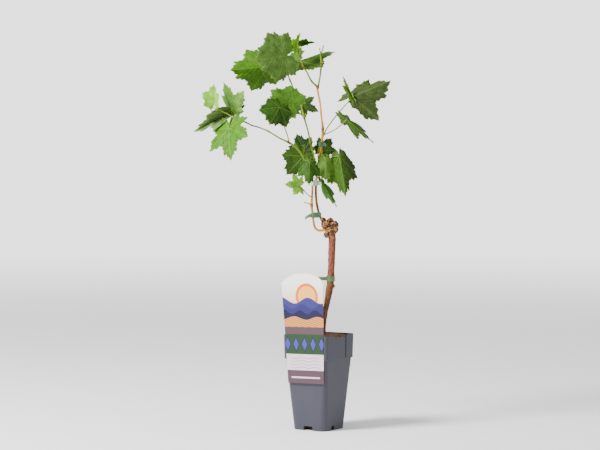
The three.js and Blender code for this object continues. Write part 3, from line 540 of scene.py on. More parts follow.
def bark_material(settings):
    """Old vine bark: dull and stringy, darkened in its furrows as painted shade, reddish in the middle. The
    weathered head is blotched dark, brown and golden; its brown is weathered wood, its dark blotches are
    painted shade and its golden ones painted highlight."""
    made, tree = blank_material("Stringy weathered bark")
    low, middle, top = (list(c) for c in (settings.bark_low, settings.bark_middle, settings.bark_head))
    place = add(tree, "ShaderNodeTexCoord").outputs["Object"]
    height = add(tree, "ShaderNodeSeparateXYZ", None, {0: place}).outputs["Z"]
    share = remap(tree, height, TRUNK_FOOT * MM, HEAD["top"] * MM, 0.0, 1.0)
    zones = ramp(tree, share, [(0.43, low), (0.55, middle), (0.82, middle), (0.93, top)])
    pale = remap(tree, grain(tree, (1.3, 1.3, 16), 5.0), 0.53, 0.66, 0.0, 0.7)
    colour = mix(tree, pale, zones, shade(top, 1.25))
    # Head blotches dealt out by a noise: brown stops are weathered wood, the darkest stop is painted shade of
    # hollows and the golden stop a painted highlight
    blotches = [(0.43, linear("2c1715")), (0.49, linear("6b4630")), (0.54, shade(top, 1.3)),
                (0.6, linear("c48d4e"))]
    knots = ramp(tree, grain(tree, 8, 3.0, 0.65), blotches)
    head = remap(tree, height, HEAD["blotched"][0] * MM, HEAD["blotched"][1] * MM, 0.0, 0.9)
    colour = mix(tree, head, colour, knots)
    # Painted shade: the bark darkens in its furrows, cracks and pits
    colour = mix(tree, stored(tree, "furrow"), colour, shade(low, 0.28))
    fibres = grain(tree, (0.5, 0.5, 7))
    surface(tree, colour, 0.86, raised(tree, fibres, 0.35), ior=1.45, specular=0.25)
    return made


def wood_material(name, base, node_colour, streak, roughness):
    """Young wood: fine lengthwise streaks on a smooth skin, darker where the nodes swell."""
    made, tree = blank_material(name)
    streaks = grain(tree, (0.9, 0.9, 22))
    patches = grain(tree, (3.5, 3.5, 30))
    dots = grain(tree, (0.7, 0.7, 1.4), 3.0)
    colour = tones(tree, streaks, base, 1 - streak, 1 + streak, (0.32, 0.68))
    colour = mix(tree, remap(tree, patches, 0.5, 0.66, 0.0, streak * 1.4), colour, node_colour)
    colour = mix(tree, stored(tree, "joint"), colour, node_colour)
    surface(tree, colour, roughness, raised(tree, dots, 0.06), ior=1.46, specular=0.2)
    return made


def leaf_material(settings):
    """Grape leaf: a satin waxy skin over a blade of its own green with painted light and shade in its tints,
    with pale veins, a net of veinlets about 3 mm apart and a dull downy underside."""
    made, tree = blank_material("Satin leaf skin")
    veins, downy = list(settings.veins), list(settings.underside)
    marks = add(tree, "ShaderNodeSeparateColor", None, {0: stored(tree, "marks", "Color")})
    vein, edge, under = (marks.outputs[i] for i in range(3))
    cloud = remap(tree, grain(tree, 13, 3.0), *GRAIN_RANGE, 0.76, 1.38)
    # Each leaf's stored tint holds painted shade and light as well as its green
    colour = gained(tree, stored(tree, "tint", "Color"), cloud)
    blade = add(tree, "ShaderNodeUVMap", {"uv_map": "blade"})
    net = add(tree, "ShaderNodeTexVoronoi", {"feature": "DISTANCE_TO_EDGE"}, {"Vector": blade, "Scale": 3.3})
    colour = gained(tree, colour, remap(tree, net, 0.0, 0.09, 1.26, 1.0))
    colour = mix(tree, calc(tree, "MULTIPLY", vein, 0.58), colour, veins)
    colour = mix(tree, remap(tree, edge, 0.94, 1.0, 0.0, 0.22), colour, veins)
    colour = mix(tree, calc(tree, "MULTIPLY", under, 0.5), colour, downy)
    gloss = remap(tree, under, 0.0, 1.0, 0.5, 0.75)
    surface(tree, colour, gloss, raised(tree, net, 0.4, 0.7), ior=1.43, specular=0.14)
    return made


def tape_material(name, base):
    """Soft plastic tie tape: slightly glossy, with fine stretch wrinkles across it."""
    made, tree = blank_material(name)
    colour = tones(tree, grain(tree, (5, 5, 9), 3.0), base, 0.6, 1.35)
    wrinkles = grain(tree, (1.2, 1.2, 4))
    surface(tree, colour, 0.42, raised(tree, wrinkles, 0.6), ior=1.5)
    return made


def card_material(settings):
    """Printed coated card: flat inks with a fine print grain under a half-gloss varnish. The design is
    plain: a low sun over rolling hills, and a pale panel with a row of lozenges."""
    made, tree = blank_material("Varnished printed card")
    print_uv = add(tree, "ShaderNodeUVMap", {"uv_map": "print"})
    parts = add(tree, "ShaderNodeSeparateXYZ", None, {0: print_uv})
    across, up = parts.outputs["X"], parts.outputs["Y"]

    def do(operation, *terms):
        return calc(tree, operation, *terms)

    def within(value, low, high):
        return do("MULTIPLY", do("GREATER_THAN", value, low), do("LESS_THAN", value, high))

    def printed(where, ink):
        return mix(tree, where, colour, ink)

    ground, sky, hills, panel = (list(c) for c in
                                 (settings.ground, settings.sky, settings.hills, settings.panel))
    colour = mix(tree, remap(tree, up, *SKY_FADE, 0.0, 1.0), sky, linear(INKS["high sky"]))
    aside = do("POWER", do("SUBTRACT", across, SUN[0]), 2.0)
    above = do("POWER", do("SUBTRACT", up, SUN[1]), 2.0)
    away = do("POWER", do("ADD", aside, above), 0.5)
    colour = printed(do("LESS_THAN", away, HALO_REACH), linear(INKS["halo"]))
    colour = printed(do("LESS_THAN", away, SUN_REACH), linear(INKS["sun"]))
    rows = do("FRACT", do("MULTIPLY_ADD", across, 0.5, do("MULTIPLY", up, 1.9)))
    field = mix(tree, do("LESS_THAN", rows, 0.3), linear(INKS["field"]), linear(INKS["furrow"]))
    inks = [shade(hills, 1.5), hills, shade(hills, 0.35), field]
    for (level, swing, turns, phase), ink in zip(HILLS, inks):
        wave = do("SINE", do("MULTIPLY_ADD", across, turns, phase))
        colour = printed(do("LESS_THAN", up, do("MULTIPLY_ADD", wave, swing, level)), ink)
    colour = mix(tree, do("GREATER_THAN", up, PICTURE_FOOT), ground, colour)
    colour = printed(within(up, *PANEL), panel)
    colour = printed(within(up, *GREEN_BAND), linear(INKS["green"]))
    folded = do("ABSOLUTE", do("SUBTRACT", do("FRACT", do("MULTIPLY_ADD", across, 0.4, 0.5)), 0.5))
    beside = do("MULTIPLY", do("ABSOLUTE", do("SUBTRACT", up, sum(GREEN_BAND) / 2)), 0.5)
    reach = do("MULTIPLY_ADD", folded, 2.5, beside)
    colour = printed(do("LESS_THAN", reach, 1.05), shade(hills, 0.5))
    colour = printed(do("LESS_THAN", reach, 0.8), shade(hills, 2.6))
    bend = do("SINE", do("MULTIPLY", across, 1.6))
    ripple = do("FRACT", do("MULTIPLY_ADD", bend, 0.22, do("MULTIPLY", up, 1.25)))
    ruled = do("MULTIPLY", within(up, *RIPPLES), within(across, *MARGINS))
    colour = printed(do("MULTIPLY", do("MULTIPLY", do("LESS_THAN", ripple, 0.2), ruled), 0.6), ground)
    colour = printed(do("MULTIPLY", within(up, *FOOT_LINE), within(across, *MARGINS)), panel)
    fleck = grain(tree, 0.6, 2.0)
    colour = gained(tree, colour, remap(tree, fleck, *GRAIN_RANGE, 0.94, 1.06))
    waves = grain(tree, 30, 1.0)
    surface(tree, colour, 0.42, raised(tree, waves, 0.6), ior=1.5, specular=0.3)
    return made


def crown(points):
    """Crown layout in millimetres to the object's own metres."""
    points = np.asarray(points, float)
    return np.stack([*rotated(points[..., 0], points[..., 1], CROWN_TURN), points[..., 2]], -1) * MM


def rotated(x, y, angle):
    """A flat place turned anticlockwise about its middle."""
    c, s = math.cos(angle), math.sin(angle)
    return x * c - y * s, x * s + y * c


def unit(rows):
    """Each direction at length one."""
    return rows / np.linalg.norm(rows, axis=-1, keepdims=True)


def seeded(seed):
    """Same order of random numbers on every run."""
    state = seed
    while True:
        state = (state * 1664525 + 1013904223) % 4294967296
        yield state / 4294967296


def smooth_path(path, spacing):
    """Points and radii along a centripetal curve through the path, about a spacing apart."""
    path = np.array(path, float)
    points, radii = path[:, :3], path[:, 3]
    reach = np.vstack([2 * points[0] - points[1], points, 2 * points[-1] - points[-2]])
    rows = []
    for i in range(len(points) - 1):
        p0, p1, p2, p3 = reach[i:i + 4]
        t0, t1, t2 = (math.sqrt(max(np.linalg.norm(b - a), TINY)) for a, b in ((p0, p1), (p1, p2), (p2, p3)))
        m1 = ((p1 - p0) / t0 - (p2 - p0) / (t0 + t1) + (p2 - p1) / t1) * t1
        m2 = ((p2 - p1) / t1 - (p3 - p1) / (t1 + t2) + (p3 - p2) / t2) * t1
        steps = max(2, round(np.linalg.norm(p2 - p1) / spacing))
        for s in np.arange(steps) / steps:
            place = ((2 * s ** 3 - 3 * s ** 2 + 1) * p1 + (s ** 3 - 2 * s ** 2 + s) * m1
                     + (3 * s ** 2 - 2 * s ** 3) * p2 + (s ** 3 - s ** 2) * m2)
            rows.append([*place, radii[i] + (radii[i + 1] - radii[i]) * s])
    rows.append(path[-1])
    return np.array(rows)


def mesh_piece(name, points, faces, material, smooth=True):
    """New object from points in metres and faces, ready to ride."""
    mesh = bpy.data.meshes.new(name)
    mesh.from_pydata(np.asarray(points, float).tolist(), [], [list(map(int, f)) for f in faces])
    mesh.materials.append(material)
    if smooth:
        mesh.shade_smooth()
    return new_object(name, mesh)


def new_object(name, data):
    """A mesh, lamp or camera as an object of the scene."""
    made = bpy.data.objects.new(name, data)
    bpy.context.scene.collection.objects.link(made)
    return made


def open_mesh(mesh):
    """A mesh opened for changes."""
    bm = bmesh.new()
    bm.from_mesh(mesh)
    return bm


def close_mesh(bm, name):
    """A new mesh from one opened for changes."""
    mesh = bpy.data.meshes.new(name)
    bm.to_mesh(mesh)
    bm.free()
    return mesh


def settle(piece, slot_name, *nodes):
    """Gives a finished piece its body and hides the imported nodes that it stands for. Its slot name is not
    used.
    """
    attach(piece, "root")
    if nodes:
        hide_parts(*nodes)


def loft(rings, closed=False, flat=False):
    """Points and faces of a skin over equal rings, closed on itself or capped at both ends. The ends of a
    flat one are closed straight across from its front row to its back row."""
    rings = np.asarray(rings, float)
    count, around = rings.shape[:2]
    points = rings.reshape(-1, 3)
    faces = []
    for r in range(count if closed else count - 1):
        a, b = r * around, ((r + 1) % count) * around
        for i in range(around):
            j = (i + 1) % around
            faces.append((a + i, a + j, b + j, b + i))
    if flat:
        for i in range(around // 2 - 1):
            j = around - 1 - i
            top = (count - 1) * around
            faces += [(i, j, j - 1, i + 1), (top + i, top + i + 1, top + j - 1, top + j)]
    elif not closed:
        first, last = len(points), (count - 1) * around
        points = np.vstack([points, rings[0].mean(0), rings[-1].mean(0)])
        for i in range(around):
            j = (i + 1) % around
            faces += [(first, j, i), (first + 1, last + i, last + j)]
    return points, faces


def tube_rings(rows, sides):
    """Rings of a tube along rows of (u, d, z, radius)."""
    along = unit(np.gradient(rows[:, :3], axis=0))
    across = np.array([along[0][2], -along[0][0], along[0][1] + 0.3])
    rings = []
    turn = np.arange(sides) * 2 * math.pi / sides
    for place, way in zip(rows, along):
        across = unit(across - across @ way * way)
        other = np.cross(way, across)
        rings.append(place[:3] + place[3] * (np.cos(turn)[:, None] * across + np.sin(turn)[:, None] * other))
    return np.array(rings)


def set_attribute(mesh, name, kind, values):
    """Writes one value, or one colour, for each point."""
    layer = mesh.attributes.new(name, kind, "POINT")
    part = "color" if kind == "FLOAT_COLOR" else "value"
    layer.data.foreach_set(part, np.asarray(values, np.float32).ravel())


def at_corners(mesh, values):
    """The points' values dealt out to the corners of the faces."""
    corner = np.zeros(len(mesh.loops), np.int32)
    mesh.loops.foreach_get("vertex_index", corner)
    return np.asarray(values)[corner]


def set_layout(mesh, name, places):
    """Flat layout of the mesh, with one place for each corner."""
    mesh.uv_layers.new(name=name).data.foreach_set("uv", places.astype(np.float32).ravel())


def plain_result(piece):
    """Turns a piece with live modifiers into a plain mesh without them."""
    graph = bpy.context.evaluated_depsgraph_get()
    made = bpy.data.meshes.new_from_object(piece.evaluated_get(graph), preserve_all_data_layers=True,
                                           depsgraph=graph)
    piece.modifiers.clear()
    piece.data = made
    made.name = piece.name
    return piece


def run_tree(piece, tree, values):
    """Runs a geometry tree on a piece with its named inputs, and keeps the plain mesh."""
    modifier = piece.modifiers.new(tree.name, "NODES")
    modifier.node_group = tree
    for item in tree.interface.items_tree:
        if item.item_type == "SOCKET" and item.in_out == "INPUT" and item.name in values:
            modifier[item.identifier] = values[item.name]
    return plain_result(piece)


def new_tree(name, sockets):
    """A geometry tree with its named inputs, and those inputs by name."""
    tree = bpy.data.node_groups.new(name, "GeometryNodeTree")
    tree.interface.new_socket("Geometry", in_out="INPUT", socket_type="NodeSocketGeometry")
    for label, kind in sockets.items():
        tree.interface.new_socket(label, in_out="INPUT", socket_type="NodeSocket" + kind)
    tree.interface.new_socket("Geometry", in_out="OUTPUT", socket_type="NodeSocketGeometry")
    return tree, add(tree, "NodeGroupInput").outputs


def close_tree(tree, shape, material):
    """Ends a geometry tree: instances made real, smooth, with their material."""
    real = add(tree, "GeometryNodeRealizeInstances", None, {0: shape})
    smooth = add(tree, "GeometryNodeSetShadeSmooth", None, {0: real})
    painted = add(tree, "GeometryNodeSetMaterial", None, {0: smooth, "Material": material})
    add(tree, "NodeGroupOutput", None, {0: painted})


def sweep_tree():
    """Wood along lines: a ring follows each line at its own radius, and a noise drawn out along the wood
    raises its strands."""
    tree, given = new_tree("Swept wood", {"Sides": "Int", "Relief": "Float", "Strand": "Float",
                                          "Material": "Material"})
    curve = add(tree, "GeometryNodeMeshToCurve", None, {0: given["Geometry"]})
    ring = add(tree, "GeometryNodeCurvePrimitiveCircle", None, {"Resolution": given["Sides"], "Radius": 1.0})
    radius = add(tree, "GeometryNodeInputNamedAttribute", {"data_type": "FLOAT"}, {"Name": "radius_along"})
    skin = add(tree, "GeometryNodeCurveToMesh", None,
               {"Curve": curve, "Profile Curve": ring, "Scale": radius, "Fill Caps": True})
    place = add(tree, "GeometryNodeInputPosition")
    drawn = add(tree, "ShaderNodeVectorMath", {"operation": "MULTIPLY"}, {0: place, 1: STRAND_DRAWN})
    size = calc(tree, "DIVIDE", 1.0, given["Strand"])
    strands = add(tree, "ShaderNodeTexNoise", None, {"Vector": drawn, "Scale": size, "Detail": 2.0})
    rise = calc(tree, "MULTIPLY", calc(tree, "SUBTRACT", strands, 0.5), given["Relief"])
    offset = gained(tree, add(tree, "GeometryNodeInputNormal"), rise)
    moved = add(tree, "GeometryNodeSetPosition", None, {"Geometry": skin, "Offset": offset})
    close_tree(tree, moved, given["Material"])
    return tree


def scatter_tree():
    """Small copies scattered on a surface, flat on it, turned at random and some tilted up."""
    tree, given = new_tree("Scattered bits", {"Bit": "Object", "Density": "Float", "Seed": "Int",
                                              "Smallest": "Float", "Largest": "Float", "Turn": "Float",
                                              "Tilt": "Float", "Material": "Material"})

    def chance(low, high, seed):
        drawn = add(tree, "FunctionNodeRandomValue", {"data_type": "FLOAT"}, {2: low, 3: high, "Seed": seed})
        return drawn.outputs[1]

    spots = add(tree, "GeometryNodeDistributePointsOnFaces", {"distribute_method": "RANDOM"},
                {"Mesh": given["Geometry"], "Density": given["Density"], "Seed": given["Seed"]})
    flat = add(tree, "FunctionNodeAlignRotationToVector", {"axis": "Z"}, {"Vector": spots.outputs["Normal"]})
    turned = add(tree, "FunctionNodeAlignRotationToVector", {"axis": "Y", "pivot_axis": "Z"},
                 {"Rotation": flat, "Vector": (0.0, 0.0, 1.0)})
    for way, amount, seed in (((0.0, 0.0, 1.0), given["Turn"], 3), ((1.0, 0.0, 0.0), given["Tilt"], 5)):
        angle = chance(calc(tree, "MULTIPLY", amount, -1.0), amount, seed)
        spin = add(tree, "FunctionNodeAxisAngleToRotation", None, {"Axis": way, "Angle": angle})
        turned = add(tree, "FunctionNodeRotateRotation", {"rotation_space": "LOCAL"},
                     {"Rotation": turned, "Rotate By": spin})
    bit = add(tree, "GeometryNodeObjectInfo", None, {"Object": given["Bit"]})
    copies = add(tree, "GeometryNodeInstanceOnPoints", None,
                 {"Points": spots.outputs["Points"], "Instance": bit.outputs["Geometry"],
                  "Rotation": turned, "Scale": chance(given["Smallest"], given["Largest"], 7)})
    close_tree(tree, copies, given["Material"])
    return tree


def scatter(name, ground, bit, material, values):
    """A new piece of bits scattered on a surface, whose own object stays as it is."""
    piece = new_object(name, ground.data.copy())
    run_tree(piece, scatter_tree(), {"Bit": bit, "Material": material, **values})
    bpy.data.objects.remove(bit)
    return piece


def near_nodes(places, path):
    """How near each place is to a node, where its path is thicker than on both sides."""
    near = np.zeros(len(places))
    for before, here, after in zip(path, path[1:], path[2:]):
        if here[3] > max(before[3], after[3]) + NODE["rise"]:
            away = np.linalg.norm(places - np.array(here[:3]), axis=1)
            near = np.maximum(near, np.exp(-(away / NODE["reach"]) ** 2))
    return near


def wood_lines(name, limbs, spacing, look, buds=()):
    """Lines along limbs, the first one sunk at its root and all a little plumper than their paths say,
    with their radius and how near a node is."""
    points, edges, radii, joints = [], [], [], []

    def add_line(places, thick, near):
        start = len(points)
        points.extend(places)
        edges.extend((start + i, start + i + 1) for i in range(len(places) - 1))
        radii.extend(thick)
        joints.extend(near)

    for order, path in enumerate(limbs):
        root = np.array(path[0][:3], float)
        way = unit(root - np.array(path[1][:3]))
        rows = smooth_path(path, spacing / MM)
        if order == 0:
            rows = np.vstack([[*(root + way * look["sunk"]), path[0][3]], rows])
        places = rows[:, :3]
        near = near_nodes(places, path)
        radius = rows[:, 3] + look["plump"] + NODE["swell"] * near
        for *place, reach, strength in WOOD_MARKS:
            away = np.linalg.norm(places - place, axis=1)
            near = np.maximum(near, strength / NODE["tint"] * np.exp(-(away / reach) ** 2))
            if reach < NODE["small_mark"]:
                radius = radius + NODE["mark_swell"] * strength * np.exp(-(away / NODE["mark_reach"]) ** 2)
        left = np.arange(len(rows))[::-1] * spacing / MM
        radius = radius * np.sqrt(np.clip(left / TIP["length"] + TIP["blunt"], 0, 1))
        add_line(places, radius, near * NODE["tint"])
    shares, thick = np.array(BUD["profile"]).T
    for place in buds:
        along = (shares[:, None] - BUD["sunk"]) * BUD["length"]
        add_line(np.array(place) + np.array(BUD["way"]) * along, thick, BUD["tint"] * shares)
    mesh = bpy.data.meshes.new(name)
    mesh.from_pydata(crown(points).tolist(), edges, [])
    set_attribute(mesh, "radius_along", "FLOAT", np.array(radii) * MM)
    set_attribute(mesh, "joint", "FLOAT", joints)
    return new_object(name, mesh)


def swept_wood(name, limbs, kind, sides, material, settings, buds=()):
    """A finished piece of wood of one kind along its limbs."""
    look = WOODS[kind]
    piece = wood_lines(name, limbs, settings.spacing, look, buds)
    tree = bpy.data.node_groups.get("Swept wood") or sweep_tree()
    return run_tree(piece, tree, {"Sides": sides, "Relief": look["relief"] * MM,
                                  "Strand": look["strand"] * MM, "Material": material})


def reach_at(angle, cut):
    """Reach of the leaf's edge without teeth at an angle off the midrib."""
    for (tip, reach), (after, after_reach), (bay, shallow, deep) in zip(LOBES, LOBES[1:], BAYS):
        low = shallow - deep * cut
        if angle <= bay:
            return low + (reach - low) * (1 - ((angle - tip) / (bay - tip)) ** LOBE_POINT)
        if angle <= after:
            return low + (after_reach - low) * (1 - ((after - angle) / (after - bay)) ** LOBE_POINT)
    tip, reach = LOBES[-1]
    return reach + (NOTCH[1] - reach) * min(1, (angle - tip) / (NOTCH[0] - tip)) ** 2


def bent(angle, reach, leaf_row, skirt):
    """An outline point after the lobes are opened and the lower lobes shortened."""
    share = min(1, max(0, (angle - SKIRT[0]) / (SKIRT[1] - SKIRT[0])))
    low = share * share * (3 - 2 * share)
    return NOTCH[0] * (angle / NOTCH[0]) ** leaf_row["spread"], reach * (1 - (1 - skirt) * low)


def half_outline(row, skirt):
    """Half the toothed edge as (angle, reach), from the tip to the notch at the stalk."""
    cut = row["cut"]
    stops = [0]
    for bay, lobe in zip(BAYS, LOBES[1:]):
        stops += [bay[0], lobe[0]]
    stops.append(NOTCH[0])
    points = [(0, 1)]
    for section, count in enumerate(TEETH):
        rising = section % 2 == 1
        width = (stops[section + 1] - stops[section]) / count
        for i in range(count):
            start = stops[section] + i * width
            valley = start + width * (TOOTH_VALLEY if rising else 1 - TOOTH_VALLEY)
            peak = start + (width if rising else 0)
            low = (valley, reach_at(valley, cut) * (1 - TOOTH_DEEP))
            high = (peak, reach_at(peak, cut))
            points += [low, high] if rising else ([high, low] if i else [low])
    points.append(NOTCH)
    return [bent(a, r, row, skirt) for a, r in points]


def flat_place(angle, reach):
    """Angle in degrees off the midrib and reach, as a place on the flat blade."""
    way = math.radians(angle)
    return np.array([reach * math.cos(way), reach * math.sin(way)])


def sides_of(row):
    """The left and right side of a blade with the length of its lower lobes."""
    return (1, row["skirt"][0]), (-1, row["skirt"][1])


def fine_outline(row, per_edge):
    """The whole edge in blade coordinates: full teeth with rounded backs and small teeth on the long ones."""
    right = [(-a, r) for a, r in half_outline(row, row["skirt"][1])[:0:-1]]
    coarse = np.array([flat_place(a, r) for a, r in right + half_outline(row, row["skirt"][0])])
    tips = np.array([flat_place(a * side, r) for side, skirt in sides_of(row)
                     for a, r in (bent(*lobe, row, skirt) for lobe in LOBES)])
    points = []
    for i, (a, b) in enumerate(zip(coarse, np.roll(coarse, -1, 0))):
        edge = b - a
        size = np.linalg.norm(edge)
        out = np.array([edge[1], -edge[0]]) / max(size, TINY)
        plain = i == len(coarse) - 1 or size < SMALL_TEETH["least_edge"]
        for t in np.arange(per_edge) / per_edge:
            place = a + edge * t
            outward = place / max(np.linalg.norm(place), TINY)
            lean = 1 - abs(outward @ edge) / max(size, TINY)
            small = 0 if plain else SMALL_TEETH["deep"] * size * (1 - abs(((t * 2) % 1) * 2 - 1))
            clear = min(1, np.linalg.norm(tips - place, axis=1).min() / SMALL_TEETH["clear"]) ** 2
            points.append(place + (out * SMALL_TEETH["square"] + outward * lean) * small * clear)
    return np.array(points)


def vein_lines(row):
    """Main and side veins as segments in blade coordinates with their widths."""
    lines = []
    for side, skirt in sides_of(row):
        for angle, reach in LOBES:
            if angle == 0 and side < 0:
                continue
            turned, length = bent(angle, reach, row, skirt)
            tip = flat_place(turned * side, 1) * length * VEIN["length"]
            lines.append((np.zeros(2), tip, VEIN["main"] if angle < VEIN["narrow_from"] else VEIN["narrow"]))
            for share in np.arange(*VEIN["branches"]):
                for turn in (-1, 1):
                    out = turned * side + turn * (VEIN["angle"] - VEIN["closing"] * share)
                    root = tip * (share + VEIN["stagger"] * turn)
                    end = root + flat_place(out, 1) * length * (1 - share) * VEIN["branch_length"]
                    lines.append((root, end, VEIN["side"]))
    return lines


def blade_place(row, flat):
    """Middle surface of a blade: x runs along the midrib and y to its left, as shares of it."""
    x, y = flat[:, 0], flat[:, 1]
    fold = np.radians(np.where(y > 0, row["folds"][0], row["folds"][1]))
    off = np.hypot(y, CREASE) - CREASE
    away = x * x + y * y
    wave = WAVE * np.sin(WAVES * np.arctan2(y, x) + row["phase"]) * np.sqrt(away)
    lift = off * np.sin(fold) - row["droop"] * away + wave
    size = row["length"]
    beside = y * np.cos(fold) * row["wide"]
    return (row["at"] + np.outer(x * size, row["along"]) + np.outer(beside * size, row["side"])
            + np.outer(lift * size, row["face"]))


def blade_normal(row, flat):
    """Direction square to the blade's middle surface."""
    step = 0.01
    ahead = blade_place(row, flat + [step, 0]) - blade_place(row, flat - [step, 0])
    left = blade_place(row, flat + [0, step]) - blade_place(row, flat - [0, step])
    return unit(np.cross(ahead, left))


def place_leaf(entry, random):
    """Frame of a leaf: its upper face looks to the front until roll turns it about the midrib."""
    at = np.array(entry["at"], float)
    along = np.array(entry["tip"], float) - at
    length = np.linalg.norm(along)
    along /= length
    face = np.array([0.0, -1.0, 0.0])
    face = unit(face - face @ along * along)
    turn = Matrix.Rotation(math.radians(-entry["roll"]), 3, Vector(along))
    face = np.array(turn @ Vector(face))
    return {**entry, "at": at, "along": along, "side": np.cross(face, along), "face": face,
            "length": length, "phase": 2 * math.pi * next(random)}


def blade_mesh(row, settings):
    """Closed blade with a toothed edge, sunk veins above and raised veins below."""
    edge = fine_outline(row, settings.per_tooth)
    count, rings = len(edge), settings.rings
    shares = (np.arange(1, rings + 1) / rings) ** BLADE["ring_power"]
    flat = np.vstack([[0.0, 0.0], (shares[:, None, None] * edge[None]).reshape(-1, 2)])
    rim = np.concatenate([[0.0], np.repeat(shares, count)])
    nearest = np.full(len(flat), np.inf)
    drawn = np.zeros(len(flat))
    for a, b, width in vein_lines(row):
        span = b - a
        t = np.clip((flat - a) @ span / (span @ span), 0, 1)
        away = np.linalg.norm(flat - a - t[:, None] * span, axis=1)
        nearest = np.minimum(nearest, away)
        strength = 1.0 if width > VEIN["side"] else VEIN["side_strength"]
        reach = width * (VEIN["wide"] - VEIN["taper"] * t)
        drawn = np.maximum(drawn, np.exp(-(away / reach) ** 2) * strength)
    place, normal = blade_place(row, flat), blade_normal(row, flat)
    size = row["length"]
    angle = np.arctan2(flat[:, 1], flat[:, 0])
    quilt = settings.quilting * (1 - np.exp(-(nearest / BLADE["quilt_from"]) ** 2)) * (1 - rim ** 6)
    ruffle = np.sin(BLADE["ruffles"] * angle + 3 * row["phase"]) * rim ** 3 - rim ** 6
    place = place + normal * (size * (quilt + BLADE["ruffle"] * ruffle))[:, None]
    thin = settings.thickness / MM / 2 * (1 - BLADE["rim_thinner"] * rim ** 4)
    above = place + normal * (thin - BLADE["vein_sunk"] * drawn)[:, None]
    below = place - normal * (thin + BLADE["vein_raised"] * drawn * (1 - rim ** 3))[:, None]
    points = np.vstack([above, below])
    lower = len(flat)
    pairs = list(zip(range(count), np.roll(np.arange(count), -1)))
    faces = [(0, 1 + i, 1 + j) for i, j in pairs]
    faces += [(lower, lower + 1 + j, lower + 1 + i) for i, j in pairs]
    for r in range(rings - 1):
        a, b = 1 + r * count, 1 + (r + 1) * count
        for i, j in pairs:
            faces.append((a + i, b + i, b + j, a + j))
            faces.append((lower + a + i, lower + a + j, lower + b + j, lower + b + i))
    last = 1 + (rings - 1) * count
    faces += [(last + i, lower + last + i, lower + last + j, last + j) for i, j in pairs]
    under = np.arange(len(points)) >= lower
    marks = np.column_stack([np.tile(drawn, 2) * row["veins"], np.tile(rim, 2), under, np.ones(len(points))])
    return points, faces, np.tile(flat, (2, 1)) * size / 10, marks


def blade_tints(row, layout):
    """Tint of each point of a blade, which turns to the far tint towards an angle, as painted light and shade
    across the blade.
    """
    share = layout @ flat_place(row["towards"], 1) * 10 / row["length"]
    over = np.clip(share * TINT_TURN["rate"] + TINT_TURN["middle"], 0, 1)[:, None]
    near, far = (np.array(linear(code)) for code in (row["tint"], row["far"] or row["tint"]))
    return near * (1 - over) + far * over


def blades_piece(name, rows, settings, material):
    """One piece of all the blades of a mass, each with its own tint."""
    points, faces, layouts, marks, tints = [], [], [], [], []
    for row in rows:
        total = sum(map(len, points))
        made, sides, layout, mark = blade_mesh(row, settings)
        points.append(made)
        faces += [tuple(total + i for i in side) for side in sides]
        layouts.append(layout)
        marks.append(mark)
        tints.append(blade_tints(row, layout))
    piece = mesh_piece(name, crown(np.vstack(points)), faces, material)
    mesh = piece.data
    set_attribute(mesh, "marks", "FLOAT_COLOR", np.vstack(marks))
    set_attribute(mesh, "tint", "FLOAT_COLOR", np.vstack(tints))
    set_layout(mesh, "blade", at_corners(mesh, np.vstack(layouts)))
    mesh.set_sharp_from_angle(angle=math.radians(60))
    return piece


def stalk_path(stem, row, random):
    """Stalk from a share of the stem to just past the leaf's root, bowed by the seeded rule."""
    stem = np.array(stem, float)
    reach = row["start"] * (len(stem) - 1)
    before = min(len(stem) - 2, math.floor(reach))
    start = stem[before, :3] + (stem[before + 1, :3] - stem[before, :3]) * (reach - before)
    end = row["at"] + row["along"] * STALK["sink"]
    bow = np.array([next(random) - 0.5, next(random) - 0.5, -STALK["sag"]])
    middle = (start + end) / 2 + bow * STALK["bow"] * np.linalg.norm(end - start)
    return [(*place, radius) for place, radius in zip((start, middle, end), STALK["radii"])]


def build_leaves(settings, wood):
    """Every mass of leaves: its blades as one piece, its stem, stalks and buds as another."""
    skin = leaf_material(settings)
    stalk_skin = wood_material("Smooth green stalk", linear("5f7a16"), linear("6f3a1e"), 0.3, 0.5)
    for order, (name, (stem, leaves, buds)) in enumerate(MASSES.items()):
        random = seeded(LEAF_SEED + order)
        rows, limbs = [], [stem]
        for entry in leaves:
            row = place_leaf(entry, random)
            rows.append(row)
            if np.linalg.norm(row["at"] - np.array(stem[-1][:3])) > STALK["near"] or entry["start"] < 1:
                limbs.append(stalk_path(stem, row, random))
        slot_name = "leaf_light" if name in LIGHT_MASSES else "leaf"
        settle(blades_piece(name + "_blades", rows, settings, skin), slot_name, name)
        last = stem[-2]
        for place in buds:
            limbs.append([(*last[:3], BUD["stalk"]), (*place, BUD["stalk"])])
            last = place
        stalks = swept_wood(name + "_stalks", limbs, "stalk", STALK["sides"], stalk_skin, wood, buds)
        settle(stalks, "shoot")


def build_wood(limbs, kind, suffix, material, settings):
    """Canes or shoots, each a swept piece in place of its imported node."""
    for name, paths in limbs.items():
        piece = swept_wood(name + suffix, paths, kind, settings.sides, material, settings)
        settle(piece, kind, name)


def build_canes(settings):
    """The ripened canes."""
    skin = wood_material("Ripened cane bark", list(settings.cane), list(settings.node), 0.34, 0.5)
    build_wood(CANES, "cane", "_wood", skin, settings)


def build_shoots(settings):
    """The green shoots."""
    skin = wood_material("Green shoot skin", list(settings.shoot), list(settings.node), 0.12, 0.45)
    build_wood(SHOOTS, "shoot", "_stem", skin, settings)


def knob_points(bm, centre, radius, seed):
    """Adds a lumpy knob of old wood to a mesh in the making."""
    made = bmesh.ops.create_icosphere(bm, subdivisions=4, radius=radius)
    for vert in made["verts"]:
        way = vert.co.normalized()
        vert.co *= 1 + KNOBS["uneven"] * noise.noise(way * 2.1 + Vector((seed, 0, 0)))
        vert.co += Vector(centre)


def drawn_noise(place, across, along, shift=0):
    """Noise with one spacing across the wood and another along it."""
    return noise.noise(Vector((place.x / across, place.y / across, place.z / along + shift)))


def summed(shares, parts):
    """Sum of parts by their shares."""
    return sum(share * part for share, part in zip(shares, parts))


